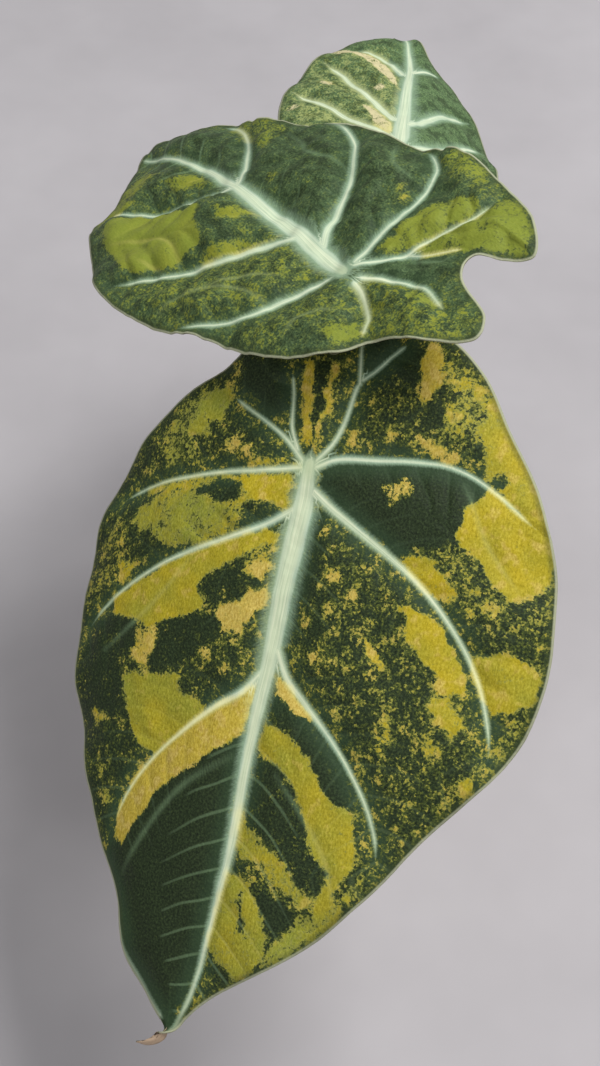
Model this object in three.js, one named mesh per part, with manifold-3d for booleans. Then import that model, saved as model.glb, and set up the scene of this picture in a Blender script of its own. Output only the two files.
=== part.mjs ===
// A potted alocasia with three variegated leaves, in millimetres, +Z up.
// The origin is the middle of the pot's underside.
// Each leaf is a blade of its own on a stalk of its own, and the stalks rise from one corm in the mix.

import * as THREE from "three";
import { mergeVertices } from "three/addons/utils/BufferGeometryUtils.js";
import Module from "manifold-3d";

const wasm = await Module();
wasm.setup();

// Driving dimensions

const GAP = 0.3;
const ROUND_SIDES = 48;

const POT = {
  height: 80,
  baseRadius: 32,
  shoulderRadius: 42.6,
  bandHeight: 13,
  bandStep: 1.6,
  rimRadius: 45,
  wall: 3.6,
  floor: 5,
  edge: 1,
  drains: 4,
  drainRadius: 3.5,
  drainCircle: 20,
};

const MIX_TOP = 73;

const CORM = {
  foot: 56,
  top: 81.5,
  topRadius: 10,
  waistRadius: 13,
};

const STALK = {
  radius: 2.6,
  sides: 12,
  steps: 18,
  circle: 5.2,
  rise: 26,
  seat: 0.65,
};

const BLADE_THICKNESS = 0.8;
const BLADE_RINGS = [0.3, 0.6, 0.85, 1];

// A blade is drawn flat first: a runs from the stalk's junction to the tip, b runs across, and +b lies to the
// left of someone who stands at the junction and looks towards the tip. Heading, slope and roll then turn it:
// the compass way of the tip from +X, how far the tip dips, and the turn about the midrib.
// dome curves both sides down, fold turns the -b side down like a half-open book, bow bends the whole length,
// and droop lets the tip fall along droopWay from droopFrom on.
const LEAVES = {
  front: {
    junction: [-2, -45, 148],
    heading: -103.9,
    slope: 31.4,
    roll: -14.4,
    dome: 0.0045,
    bow: 0.0008,
    fold: 0,
    droop: 0,
    droopFrom: 0,
    droopWay: [0, 0, -1],
    stalkAngle: 250,
    reach: 30,
    middle: [30, 0],
    outline: [
      [-24, 0.5], [-30, -6], [-30.5, -13], [-22, -22], [-8, -38.5], [8, -48.5], [30, -52], [52, -49], [66, -42.5],
      [84, -33.5], [96, -25.5], [106, -22], [112, -15], [117, -10.5], [120.5, -14], [117, -8.5], [108, -1],
      [96, 14.5], [82, 27], [66, 37.5], [52, 48], [36, 53], [16, 52], [0, 47], [-14, 38], [-24, 31.5],
      [-31, 22], [-32, 12], [-28, 4],
    ],
  },
  middle: {
    junction: [5, -11.2, 169.9],
    heading: 124.4,
    slope: 10.4,
    roll: 18.6,
    dome: 0.0012,
    bow: 0,
    fold: 0,
    droop: 0.006,
    droopFrom: 30,
    droopWay: [0, 0.643, -0.766],
    stalkAngle: 10,
    reach: 32,
    middle: [18, -3],
    outline: [
      [-22, -18], [-24, -13.5], [-36, -9], [-38.5, -4.5], [-31, 2.5], [-20, 8], [-17, 15], [-6, 23.5], [11, 29],
      [24, 33.5], [38, 36.5], [54, 35.5], [66, 29.5], [74.5, 23], [75, 17], [81, 8], [85, 1], [83, -7],
      [75, -16], [60, -22], [47, -28.5], [36, -32], [18, -35], [2, -39], [-10, -36.5], [-24, -32.5],
      [-31, -26], [-27, -22],
    ],
  },
  back: {
    junction: [20.5, 54.9, 153.5],
    heading: 84.8,
    slope: 10,
    roll: -2,
    dome: 0.003,
    bow: 0,
    fold: 0.54,
    droop: 0.035,
    droopFrom: 63,
    droopWay: [0, 0, -1],
    stalkAngle: 130,
    reach: 30,
    middle: [22, 2],
    outline: [
      [-12, 1], [-17, -5], [-17, -12], [-8, -20.5], [6, -25.5], [20, -25.5], [36, -20], [50, -13], [60, -6.5],
      [70, -1.5], [78, 4], [71, 9], [62.5, 17], [52, 24], [40, 29], [26, 31.5], [10, 30.5], [-6, 27], [-15, 19],
      [-18, 9], [-15, 4],
    ],
  },
};

// The fold of a blade starts a little way from the midrib and takes this far to reach its full slope.
const FOLD_START = 1.5;
const FOLD_EASE = 3;

// Papery sheaths left on the crown: the middle of the arc and half its width in degrees, and the height.
const SHEATHS = {
  sheath_left: { angle: 190, half: 38, height: 22 },
  sheath_right: { angle: 315, half: 22, height: 16 },
};
const SHEATH_INNER = 8.4;
const SHEATH_THICKNESS = 0.9;
const SHEATH_FOOT_GAP = 0.3;

// Pieces of bark lie in an outer ring and pumice in an inner one. Both leave the left side of the pot open.
const BARK = {
  lengths: [13, 10.5, 12, 9.5, 13.5, 11, 12.5, 10],
  ring: 29.5,
  firstAngle: -140,
  stepAngle: 40,
  width: 0.56,
  height: 4.2,
  sides: 6,
};
const PUMICE = {
  radii: [3.1, 2.5, 2.9, 2.3, 3, 2.6, 2.8],
  ring: 19.5,
  firstAngle: -120,
  stepAngle: 40,
};

// Finishes

function finish(color, roughness) {
  return new THREE.MeshStandardMaterial({ color, roughness, metalness: 0 });
}

const FINISH = {
  pot: finish("#b9b2a6", 0.75),
  mix: finish("#3b2c20", 0.95),
  corm: finish("#6a4a35", 0.85),
  stalk: finish("#a9b183", 0.5),
  blade: finish("#4a5a34", 0.6),
  sheath: finish("#a98566", 0.8),
  bark: finish("#6b442b", 0.9),
  pumice: finish("#c9c3b6", 0.9),
};

// Shared shape helpers

function radians(degrees) {
  return THREE.MathUtils.degToRad(degrees);
}

// Joins the shared corners of a closed shape, drops faces with no area and turns the faces outwards.
function closed(source) {
  const bare = source.clone();
  for (const name of Object.keys(bare.attributes)) {
    if (name !== "position") bare.deleteAttribute(name);
  }
  const merged = mergeVertices(bare, 1e-4);
  const corners = merged.index.array;
  const place = merged.attributes.position;
  const point = (i) => new THREE.Vector3().fromBufferAttribute(place, i);
  const kept = [];
  let volume = 0;
  for (let i = 0; i < corners.length; i += 3) {
    const [p, q, r] = [corners[i], corners[i + 1], corners[i + 2]];
    if (p === q || q === r || r === p) continue;
    kept.push([p, q, r]);
    volume += point(p).dot(point(q).cross(point(r)));
  }
  const facing = volume < 0 ? kept.map(([p, q, r]) => [p, r, q]) : kept;
  merged.setIndex(facing.flat());
  merged.computeVertexNormals();
  return merged;
}

// Turns a profile of [radius, height] pairs about the Z axis.
function turned(profile, sides = ROUND_SIDES) {
  const points = profile.map(([radius, height]) => new THREE.Vector2(radius, height));
  return closed(new THREE.LatheGeometry(points, sides).rotateX(Math.PI / 2));
}

function toSolid(geometry) {
  const vertProperties = new Float32Array(geometry.attributes.position.array);
  const triVerts = new Uint32Array(geometry.index.array);
  return new wasm.Manifold(new wasm.Mesh({ numProp: 3, vertProperties, triVerts }));
}

function fromSolid(solid) {
  const mesh = solid.getMesh();
  const geometry = new THREE.BufferGeometry();
  geometry.setAttribute("position", new THREE.BufferAttribute(new Float32Array(mesh.vertProperties), 3));
  geometry.setIndex(Array.from(mesh.triVerts));
  return closed(geometry);
}

function onCircle(radius, degrees, height) {
  return new THREE.Vector3(radius * Math.cos(radians(degrees)), radius * Math.sin(radians(degrees)), height);
}

// The pot

function potInside(height) {
  const outside = POT.baseRadius + ((POT.shoulderRadius - POT.baseRadius) * height) / POT.height;
  return outside - POT.wall;
}

function potShape() {
  const bandFoot = POT.height - POT.bandHeight;
  const { baseRadius, shoulderRadius, rimRadius, height, bandStep, edge, floor } = POT;
  const shoulder = baseRadius + ((shoulderRadius - baseRadius) * bandFoot) / height;
  const shell = turned([
    [0, 0], [baseRadius - edge, 0], [baseRadius, edge],
    [shoulder, bandFoot], [shoulder + bandStep, bandFoot + edge],
    [rimRadius, height - edge], [rimRadius - edge, height],
    [potInside(height) + edge, height], [potInside(height - edge), height - edge],
    [potInside(floor + edge), floor + edge], [potInside(floor) - edge, floor], [0, floor],
  ]);
  let solid = toSolid(shell);
  for (let i = 0; i < POT.drains; i += 1) {
    const at = onCircle(POT.drainCircle, 45 + (360 * i) / POT.drains, floor / 2);
    const drill = new THREE.CylinderGeometry(POT.drainRadius, POT.drainRadius, floor * 2, 20);
    drill.rotateX(Math.PI / 2).translate(at.x, at.y, at.z);
    solid = solid.subtract(toSolid(closed(drill)));
  }
  return fromSolid(solid);
}

// The corm and the mix that it sits in

const CORM_BURIED = [[0, CORM.foot], [7, CORM.foot + 1.5], [11.5, CORM.foot + 6], [CORM.waistRadius, 68]];
const CORM_SHOWN = [[12.6, MIX_TOP], [11.4, 78.5], [CORM.topRadius, CORM.top], [0, CORM.top]];

function mixShape() {
  const pocket = [...CORM_BURIED, CORM_SHOWN[0]].map(([radius, height]) => [
    radius > 0 ? radius + GAP : 0,
    height < MIX_TOP ? height - GAP : MIX_TOP,
  ]);
  return turned([
    [0, POT.floor + GAP],
    [potInside(POT.floor) - POT.edge - GAP, POT.floor + GAP],
    [potInside(POT.floor + POT.edge) - GAP, POT.floor + POT.edge + GAP],
    [potInside(MIX_TOP) - GAP, MIX_TOP],
    ...pocket.reverse(),
  ]);
}

function cormShape() {
  return turned([...CORM_BURIED, ...CORM_SHOWN], 24);
}

// The leaves

function leafFrame(leaf) {
  const heading = radians(leaf.heading);
  const slope = radians(leaf.slope);
  const roll = radians(leaf.roll);
  const level = new THREE.Vector3(-Math.sin(heading), Math.cos(heading), 0);
  const along = new THREE.Vector3(Math.cos(heading), Math.sin(heading), 0)
    .multiplyScalar(Math.cos(slope))
    .setZ(-Math.sin(slope));
  const up = new THREE.Vector3().crossVectors(along, level);
  const normal = up.clone().multiplyScalar(Math.cos(roll)).addScaledVector(level, Math.sin(roll));
  const across = level.clone().multiplyScalar(Math.cos(roll)).addScaledVector(up, -Math.sin(roll));
  return { along, across, normal, junction: new THREE.Vector3(...leaf.junction) };
}

function bladePoint(leaf, frame, a, b) {
  const past = Math.max(-b - FOLD_START, 0);
  const folded = leaf.fold * (Math.hypot(past, FOLD_EASE) - FOLD_EASE);
  const sag = leaf.dome * b * b + leaf.bow * Math.max(a, 0) ** 2 + folded;
  const droop = leaf.droop * Math.max(a - leaf.droopFrom, 0) ** 2;
  return frame.junction.clone()
    .addScaledVector(frame.along, a)
    .addScaledVector(frame.across, b)
    .addScaledVector(frame.normal, -sag)
    .addScaledVector(new THREE.Vector3(...leaf.droopWay), droop);
}

// A thin plate: rings of points from the middle to the margin, above and below, closed along the margin.
function bladeShape(leaf) {
  const frame = leafFrame(leaf);
  const [midA, midB] = leaf.middle;
  const corners = leaf.outline.map(([a, b]) => new THREE.Vector3(a, b, 0));
  const margin = new THREE.CatmullRomCurve3(corners, true, "centripetal").getPoints(corners.length * 2);
  margin.pop();
  const around = margin.length;
  const perSide = 1 + BLADE_RINGS.length * around;
  const positions = [];
  for (const depth of [0, BLADE_THICKNESS]) {
    const lower = frame.normal.clone().multiplyScalar(-depth);
    positions.push(...bladePoint(leaf, frame, midA, midB).add(lower).toArray());
    for (const ring of BLADE_RINGS) {
      for (const { x, y } of margin) {
        const a = midA + (x - midA) * ring;
        const b = midB + (y - midB) * ring;
        positions.push(...bladePoint(leaf, frame, a, b).add(lower).toArray());
      }
    }
  }
  const at = (side, ring, i) => side * perSide + 1 + ring * around + (i % around);
  const faces = [];
  const quad = (p, q, r, s) => faces.push(p, q, r, p, r, s);
  for (let i = 0; i < around; i += 1) {
    faces.push(0, at(0, 0, i), at(0, 0, i + 1));
    faces.push(perSide, at(1, 0, i + 1), at(1, 0, i));
    for (let ring = 1; ring < BLADE_RINGS.length; ring += 1) {
      quad(at(0, ring - 1, i), at(0, ring, i), at(0, ring, i + 1), at(0, ring - 1, i + 1));
      quad(at(1, ring - 1, i), at(1, ring - 1, i + 1), at(1, ring, i + 1), at(1, ring, i));
    }
    const edge = BLADE_RINGS.length - 1;
    quad(at(0, edge, i), at(1, edge, i), at(1, edge, i + 1), at(0, edge, i + 1));
  }
  const geometry = new THREE.BufferGeometry();
  geometry.setAttribute("position", new THREE.Float32BufferAttribute(positions, 3));
  geometry.setIndex(faces);
  return closed(geometry);
}

// A stalk leaves the crown upright and meets its blade square on, just under the junction.
function stalkShape(leaf) {
  const frame = leafFrame(leaf);
  const foot = onCircle(STALK.circle, leaf.stalkAngle, CORM.top + GAP);
  const head = frame.junction.clone().addScaledVector(frame.normal, -(BLADE_THICKNESS + STALK.seat));
  const path = new THREE.CubicBezierCurve3(
    foot,
    foot.clone().add(new THREE.Vector3(0, 0, STALK.rise)),
    head.clone().addScaledVector(frame.normal, -leaf.reach),
    head,
  );
  const section = new THREE.Shape();
  for (let i = 0; i <= STALK.sides; i += 1) {
    const turn = (2 * Math.PI * i) / STALK.sides;
    const [x, y] = [STALK.radius * Math.cos(turn), STALK.radius * Math.sin(turn)];
    if (i === 0) section.moveTo(x, y);
    else section.lineTo(x, y);
  }
  return closed(new THREE.ExtrudeGeometry(section, { steps: STALK.steps, extrudePath: path }));
}

// The sheaths on the crown

function sheathShape({ angle, half, height }) {
  const [from, to] = [radians(angle - half), radians(angle + half)];
  const band = new THREE.Shape();
  band.absarc(0, 0, SHEATH_INNER + SHEATH_THICKNESS, from, to, false);
  band.absarc(0, 0, SHEATH_INNER, to, from, true);
  const raised = new THREE.ExtrudeGeometry(band, { depth: height, bevelEnabled: false, curveSegments: 10 });
  return closed(raised.translate(0, 0, CORM.top + SHEATH_FOOT_GAP));
}

// Loose pieces on the mix

function seated(geometry, ring, angle) {
  geometry.computeBoundingBox();
  const at = onCircle(ring, angle, MIX_TOP + GAP - geometry.boundingBox.min.z);
  return closed(geometry.translate(at.x, at.y, at.z));
}

function barkShape(i) {
  const half = BARK.lengths[i] / 2;
  const chip = new THREE.CylinderGeometry(half * 0.8, half, BARK.height, BARK.sides);
  chip.rotateX(Math.PI / 2).scale(1, BARK.width, 1).rotateZ(radians(90 + 67 * i));
  return seated(chip, BARK.ring, BARK.firstAngle + BARK.stepAngle * i);
}

function pumiceShape(i) {
  const grain = new THREE.DodecahedronGeometry(PUMICE.radii[i]);
  grain.rotateZ(radians(31 * i));
  return seated(grain, PUMICE.ring, PUMICE.firstAngle + PUMICE.stepAngle * i);
}

// The whole plant

const plant = new THREE.Group();

function add(name, geometry, material) {
  const mesh = new THREE.Mesh(geometry, material);
  mesh.name = name;
  plant.add(mesh);
}

add("pot", potShape(), FINISH.pot);
add("potting_mix", mixShape(), FINISH.mix);
add("corm", cormShape(), FINISH.corm);
for (const [name, leaf] of Object.entries(LEAVES)) {
  add(`petiole_${name}`, stalkShape(leaf), FINISH.stalk);
  add(`blade_${name}`, bladeShape(leaf), FINISH.blade);
}
for (const [name, sheath] of Object.entries(SHEATHS)) {
  add(name, sheathShape(sheath), FINISH.sheath);
}
BARK.lengths.forEach((_, i) => add(`bark_chip_${i + 1}`, barkShape(i), FINISH.bark));
PUMICE.radii.forEach((_, i) => add(`pumice_grain_${i + 1}`, pumiceShape(i), FINISH.pumice));

export default plant;
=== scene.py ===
"""A potted black velvet alocasia with three variegated leaves.

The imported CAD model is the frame. Each leaf, each stalk and the pot with its filling is modelled in detail
around it.
"""

import math
import random

import bpy
import numpy as np
from mathutils import Matrix, Vector, noise


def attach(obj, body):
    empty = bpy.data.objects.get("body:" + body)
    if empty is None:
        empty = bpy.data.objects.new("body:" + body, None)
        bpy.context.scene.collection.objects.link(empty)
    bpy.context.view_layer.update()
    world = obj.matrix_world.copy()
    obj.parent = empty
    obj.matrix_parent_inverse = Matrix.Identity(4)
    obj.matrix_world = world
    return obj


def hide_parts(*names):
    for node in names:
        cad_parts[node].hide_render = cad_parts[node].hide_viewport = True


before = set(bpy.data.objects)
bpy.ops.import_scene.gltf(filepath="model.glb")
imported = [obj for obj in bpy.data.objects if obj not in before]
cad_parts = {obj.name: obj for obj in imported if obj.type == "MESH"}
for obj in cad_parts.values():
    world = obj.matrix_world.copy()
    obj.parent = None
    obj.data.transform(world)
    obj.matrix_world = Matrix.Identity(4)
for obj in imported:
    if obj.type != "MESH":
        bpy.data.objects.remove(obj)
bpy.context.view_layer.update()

bl_info = {
    "name": "Potted Alocasia",
    "version": (1, 0, 0),
    "blender": (4, 5, 0),
    "location": "View3D > Sidebar > Alocasia",
    "description": "Builds a potted alocasia with variegated velvet leaves",
    "category": "Object",
}

MM = 0.001


def linear(hex_colour):
    """The linear colour of an sRGB hex value."""
    parts = [int(hex_colour[i:i + 2], 16) / 255 for i in (1, 3, 5)]
    return tuple(c / 12.92 if c <= 0.04045 else ((c + 0.055) / 1.055) ** 2.4 for c in parts)


# Leaves, in millimetres and degrees. A leaf is drawn flat: a runs from the stalk's junction to the tip, and
# b runs across, so that +b lies to the left of someone at the junction who looks towards the tip.
#
# junction, heading, slope and roll place a leaf. dome and bow arch it across and along, fold turns down its
# right half, and droop bends what lies past droop_from along droop_way. stalk_angle is where its stalk
# stands round the corm, and reach is how far the stalk runs straight at the blade. middle and cells are the
# centre and the fineness of its mesh. base is how yellow it is between its patches, and youth_and_sheen runs
# from 0, full grown, to 1, newly opened. It makes a leaf paler, partly as a young leaf's own paler green and
# partly as painted sheen, the look of velvet seen at a grazing angle. relief is the height of the skin
# between side veins, swell is that of the bulges, and vein_share scales the width of every main vein but the
# midrib.
#
# A vein is its widths from start to end and the points that it passes. A crease is its depth and its
# points. A patch is how strongly it is yellow (above 0) or dark (below 0), its tone from peach (-1) through
# gold (0) to olive (1), and its outline. A tone past -1 stays peach up to the patch's edge. A spot is the
# same with a middle and a radius. Later patches lie over earlier ones.

FRONT = {
    "junction": (-2, -45, 148), "heading": -103.9, "slope": 31.4, "roll": -14.4,
    "dome": 0.0045, "bow": 0.0008, "fold": 0, "droop": 0, "droop_from": 0, "droop_way": (0, 0, -1),
    "stalk_angle": 250, "reach": 30, "middle": (30, 0), "cells": 208,
    "base": -0.85, "youth_and_sheen": 0, "relief": 0.22, "swell": 0.55, "vein_share": 0.55,
    "drip": {"root": (114, -9.5), "curl": 0.16, "twist": 2.7},
    "outline": [
        (-24, 0.5), (-30, -6), (-30.5, -13), (-22, -22), (-8, -38.5), (8, -48.5), (30, -52), (52, -49),
        (66, -42.5), (84, -33.5), (96, -25.5), (106, -22), (111.5, -15.5), (115, -11.6), (118.5, -10.5),
        (124, -9.6), (118.5, -8.4), (115, -7), (108, -1), (96, 14.5), (82, 27), (66, 37.5), (52, 48),
        (36, 53), (16, 52), (0, 47), (-14, 38), (-24, 31.5), (-31, 22), (-32, 12), (-28, 4),
    ],
    "midrib": ((2.6, 4.9, 4.8, 4.3, 3.7, 3.1, 2.6, 2.3, 2, 1.5, 1.1, 0.8, 0.5), [
        (-0.5, 0.3), (10, 0.6), (25, 0.2), (40, 0), (50, -0.6), (60, -1), (70, -1.2), (80, -1.6),
        (90, -2.7), (100, -3.9), (108, -5.3), (116, -8.2)]),
    "veins": [
        ((2.2, 1.2, 0.5), [(0.5, -1.5), (2, -10), (3, -18), (4.5, -26), (6.5, -34), (9.5, -42),
                           (13, -47.5)]),
        ((2.6, 1.4, 0.6), [(9, -1), (12.5, -6), (16.5, -14), (19.5, -21), (24, -30), (30, -39), (37, -46),
                           (43, -49.5)]),
        ((3, 1.2, 0.5), [(43, -1.5), (47, -4.5), (51, -10), (58, -17.5), (64, -23), (70, -27), (76, -29.5),
                         (82, -30.5)]),
        ((2.4, 1.4, 0.7), [(0, 2), (-2, 6), (-3, 14), (-4, 22), (-4.2, 28), (-3, 33), (0, 39), (4, 45),
                           (6.5, 49.5)]),
        ((3, 1.6, 0.7), [(5, 2.5), (8, 7), (12, 14), (16, 21), (20, 27), (26, 33.5), (33, 39), (40, 42.5),
                         (48, 44.8), (55, 45.3)]),
        ((3, 1.4, 0.7), [(38, 1.5), (43, 4.5), (47, 9), (52, 14.5), (58, 20), (64, 24.3), (70, 27),
                         (77, 28.5)]),
        ((2, 1, 0.5), [(-1, -1.5), (-5, -6), (-8, -11), (-11, -17), (-13.5, -21.5)]),
        ((1.6, 0.9, 0.5), [(-3, -3), (-8, -5.5), (-14, -6.5), (-20, -8)]),
        ((1.8, 1), [(-1, 1.5), (-5, 4.5), (-10, 6), (-17, 7), (-20, 8.5)]),
        ((1, 0.5), [(-18, 7.5), (-24, 6.5), (-28, 6)]),
        ((1, 0.5), [(-19, 8), (-22, 11), (-25, 13.5), (-28, 16)]),
    ],
    "margin_band": ((0.4, 1, 1.8, 1.6), [(86, -32.3), (96, -25.8), (105, -22), (110.5, -16), (114, -11.5)]),
    "creases": [
        (0.5, [(-1, 32), (3.6, 34.9), (8.2, 37.2), (13.5, 41.3), (17.8, 45.5)]),
        (0.25, [(20, -22), (27, -26), (36, -33), (44, -41)]),
        (0.3, [(62, 6), (70, 14), (77, 19), (86, 22)]),
        (0.3, [(60, -4), (68, -14), (78, -21), (88, -26)]),
    ],
    "patches": [
        (2.2, 0.8, [(-14.5, -27), (-14.5, -21), (-11, -20.5), (-7, -22), (-7, -25), (-3.5, -24), (-5, -30),
                    (-8, -32), (-12, -31)]),
        (2, 0, [(0, -2), (1, -8), (1.8, -13), (0.3, -14), (-0.8, -9), (-1, -4)]),
        (0.2, 0.7, [(-14, -28), (-4, -30), (2, -25), (2, -34), (-5, -36), (-11, -33)]),
        (-3, 0, [(-8, -11), (-16, -18), (-20, -20), (-21, -10), (-12, -7)]),
        (-1.5, 0, [(-10, -21), (-3, -12), (-2, -8), (-6, -9)]),
        (1.5, -1, [(-3, -17, 1.6)]),
        (1.5, -1, [(-1, -14, 1.3)]),
        (1.6, 0.3, [(2, -3), (3, -10), (4.5, -26), (8, -38), (14, -40), (18, -34), (20, -28), (19, -21),
                    (16, -14), (12, -6), (9, -2)]),
        (3.5, 0, [(2.5, -3), (3, -10), (4.5, -17), (6.5, -13), (9, -9), (9, -3.5)]),
        (-2.2, 0, [(4.5, -17), (5.5, -14), (8, -13), (10, -17), (9.5, -20), (9, -25), (6.5, -24)]),
        (-1.8, 0, [(9.5, -3), (8.5, -8), (10, -13), (14, -13.5), (14.5, -9), (12.5, -4.5)]),
        (1.6, 0.7, [(11, -13), (10, -20), (8, -26), (10, -33), (11, -39.5), (16, -41.5), (18, -36),
                    (20, -30), (19.5, -24), (16, -17)]),
        (-2.5, 0, [(8, -33), (11, -40), (13, -46), (16, -44), (12, -40), (10, -34)]),
        (-0.2, 0.6, [(12, -43), (25, -50.5), (36, -51), (30, -44), (22, -42), (16, -42)]),
        (-1.6, 0, [(18, -40), (17, -34), (21, -31), (23, -36), (22, -42)]),
        (1.5, 0, [(24, -43), (29, -42), (29, -38), (24, -37)]),
        (3.8, 0.2, [(14, -7), (14.5, -3), (18, -3), (20, -8), (22, -14), (27, -19), (32, -17), (35, -21),
                    (37, -27), (38, -33), (36, -40), (33, -42), (27, -34), (22, -25), (18, -17)]),
        (0.2, 0.2, [(16, -3), (20, -4), (25, -4), (24, -8), (20, -10), (17, -7)]),
        (2.5, -0.9, [(24.5, -3), (27, -7), (31, -12), (32, -14), (37, -11.5), (35, -7), (30, -3)]),
        (2, -0.9, [(21, -3), (20, -7), (22.5, -9), (25, -5)]),
        (-2, 0, [(23, -12), (24, -15), (29, -17), (31, -14), (28, -9), (25, -5.5), (23.5, -8)]),
        (-2.2, 0, [(35.5, -26), (34, -20), (33, -14), (36, -11.2), (40, -14), (44, -20), (46.5, -26),
                   (40, -28)]),
        (-2.2, 0, [(37, -32), (36, -38), (38, -44), (44, -47), (50, -47), (58, -46), (62, -40), (56, -33),
                   (50, -35), (44, -35), (41, -32)]),
        (1.8, -0.6, [(37, -28), (38, -32), (43, -33), (46, -31), (46, -28), (41, -27)]),
        (1.6, -1, [(41, -14, 1.2)]),
        (1.6, -1, [(44, -9, 1.2)]),
        (-1.3, 0, [(60, -28), (80, -30), (78, -38), (62, -45), (57, -38)]),
        (3.6, 0.5, [(47.8, -33.8), (47.3, -28), (46, -19), (49.6, -17.4), (51.4, -11.5), (55.5, -15.4),
                    (60, -20), (63, -23), (61.7, -27.4), (58.9, -29.3), (54.1, -32.2)]),
        (-1.5, 0, [(48, -20), (50, -18), (51, -12), (48, -6), (46, -4), (44, -10), (46, -17)]),
        (1.5, 0, [(56, -41), (58, -37), (60, -39), (58, -42)]),
        (1.5, 0.4, [(66, -37), (68, -34), (70, -36)]),
        (1, 0.4, [(74, -33, 1)]),
        (3.8, -0.5, [(45, -2), (50, -2), (54.5, -2.7), (60, -8.2), (62.3, -9), (67, -14.6), (70, -19.5),
                     (73.5, -21.3), (76, -22.5), (80, -25.6), (82.6, -26.8), (82.5, -29.4), (76, -30),
                     (70, -27.6), (64, -23.6), (58, -18.1), (51, -10.6), (47, -5)]),
        (-4, 0, [(56, -2.5), (60, -8), (64, -13), (70, -19.5), (76, -23.5), (83, -27), (82, -31), (88, -31),
                 (98, -25), (108, -22), (116, -9), (100, -4.5), (80, -2.5)]),
        (-0.9, 0, [(-32, 4), (-20, 5), (-5, 5), (-5, 30), (-8, 44), (-30, 34)]),
        (-2.5, 0, [(-28, 8), (-20, 8), (-20, 20), (-28, 20)]),
        (2, -1, [(-6, 7.5), (-9, 8), (-8, 10), (-5, 9.5)]),
        (1.5, -1, [(-8, 16.5, 1)]),
        (2.8, -0.5, [(-29, 20), (-27, 23), (-20, 24), (-16, 22.5), (-16.5, 20), (-21, 20), (-25, 19.5)]),
        (0.6, 0.2, [(-25, 25), (-10, 26), (-10, 35), (-23, 34)]),
        (3, 0.2, [(-8, 33), (-5, 35), (-2.5, 36), (0, 39.5), (4, 45.5), (7, 50), (2, 49), (-4, 46),
                  (-14, 38.5), (-22, 34)]),
        (2.5, -0.8, [(-9, 22), (-6, 23), (-4.5, 28), (-5, 31), (-7, 30), (-8, 26)]),
        (-1.6, 0, [(-13, 24, 2)]),
        (-1.6, 0, [(-8, 33, 1.6)]),
        (-1.6, 0, [(-3, 38, 1.6)]),
        (-4, 0, [(-2, 5), (-3.5, 14), (-4, 24), (-3, 33), (0, 36), (1, 34), (4, 32.5), (8, 33),
                 (10, 31.5), (12, 28.5), (12.5, 24.5), (15, 23.5), (11, 15), (7, 8), (4, 4)]),
        (0.6, -0.8, [(0.5, 19), (2, 16), (4, 18), (5.5, 19), (4, 21), (2, 23), (0, 21.5)]),
        (4, 0.1, [(0, 36), (2, 34), (4, 32.5), (7, 33.5), (10, 32), (12, 35), (16, 40), (20, 44),
                  (18, 48), (14, 51), (8, 50.5), (5, 48), (2, 42), (-1.5, 37)]),
        (-0.1, 0.2, [(13, 25), (12, 29), (13, 34), (17, 38), (21, 43), (24, 47), (14, 51), (30, 52),
                     (28, 40), (22, 33), (17, 27)]),
        (2.8, 0, [(15.5, 22.5), (14, 27), (14.5, 30), (16.5, 30), (19.7, 35.3), (21.8, 33.2), (21.4, 28),
                  (18.5, 24.5)]),
        (-0.9, 0, [(24, 36), (30, 38), (30, 50), (24, 50)]),
        (3.5, 0.2, [(31, 42), (30, 46), (31, 50), (34, 52.5), (38, 51.5), (41, 48), (42, 44), (39, 41.5),
                    (35, 39.5), (32, 39)]),
        (-0.2, 0.6, [(42, 45), (56, 45), (55, 50), (42, 51)]),
        (-2, 0, [(10, 3), (36, 2.5), (36, 6), (14, 8)]),
        (1.5, -1, [(13, 7, 1)]),
        (1.7, -1, [(21.5, 10.5, 1.3)]),
        (1.8, -1, [(25, 15, 1.5)]),
        (1.6, -1, [(31.5, 6.5, 1.1)]),
        (1.8, -1, [(38, 9, 1.4)]),
        (3, -0.4, [(32.5, 18), (33.5, 21), (37, 23.5), (36, 20)]),
        (3.8, 0, [(24.5, 24), (27.5, 26.5), (30.5, 26.8), (35.3, 30.6), (36.4, 33.3), (40.4, 34.4),
                  (39.6, 39.6), (35.4, 38.2), (30.8, 35.6), (27, 33.3), (25.2, 29)]),
        (2.5, 0.1, [(40, 33), (41, 36), (42, 39), (46, 40), (49, 38), (46, 36), (44, 33)]),
        (1.5, 0.2, [(45, 26), (49, 27), (56, 26), (52, 25)]),
        (1.5, 0.3, [(48, 32), (53, 35), (51, 37), (47, 34)]),
        (2, 0.1, [(53, 43), (56, 40.5), (59, 40), (58, 44)]),
        (3.2, -0.9, [(43, 1.5), (46.5, 2.6), (49.6, 7), (51, 11), (49.3, 11.3), (46.6, 7.6), (43.6, 4.6)]),
        (-2.8, 0, [(46, 3), (50, 8), (51, 14), (55, 17), (62, 21), (66, 22), (66, 18), (60, 14), (54, 9),
                   (49, 2.5)]),
        (3.2, 0.4, [(52, 1), (53, 5), (55, 9.5), (60, 14), (65, 18.5), (65.5, 22), (70, 23), (75, 24.5),
                    (82, 21),
                    (85, 24), (90, 20), (86, 17), (82, 18.5), (78, 17.5), (74, 14.5), (68, 12.5), (62, 9),
                    (59, 4), (57, 1)]),
        (-2, 0, [(59, 1), (62, 8), (68, 12.5), (75, 15), (79, 20), (83, 16.5), (80, 12), (75, 5), (70, 1),
                 (64, 0.5)]),
        (2, 0.3, [(69, -0.5), (74, 3), (77, 9), (80, 12), (84, 17), (86, 16), (83, 10), (80, 4), (78, 0),
                  (74, -1)]),
        (-0.5, 0.3, [(80, 1), (84, 1), (84, 7), (80, 7)]),
        (2.6, 0.6, [(82, -1.5), (84, 4), (88, 8), (92, 9), (96, 10), (100, 8), (104, 4), (108, -1),
                    (111, -4), (104, -3.5), (96, -3), (88, -2.5)]),
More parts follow.
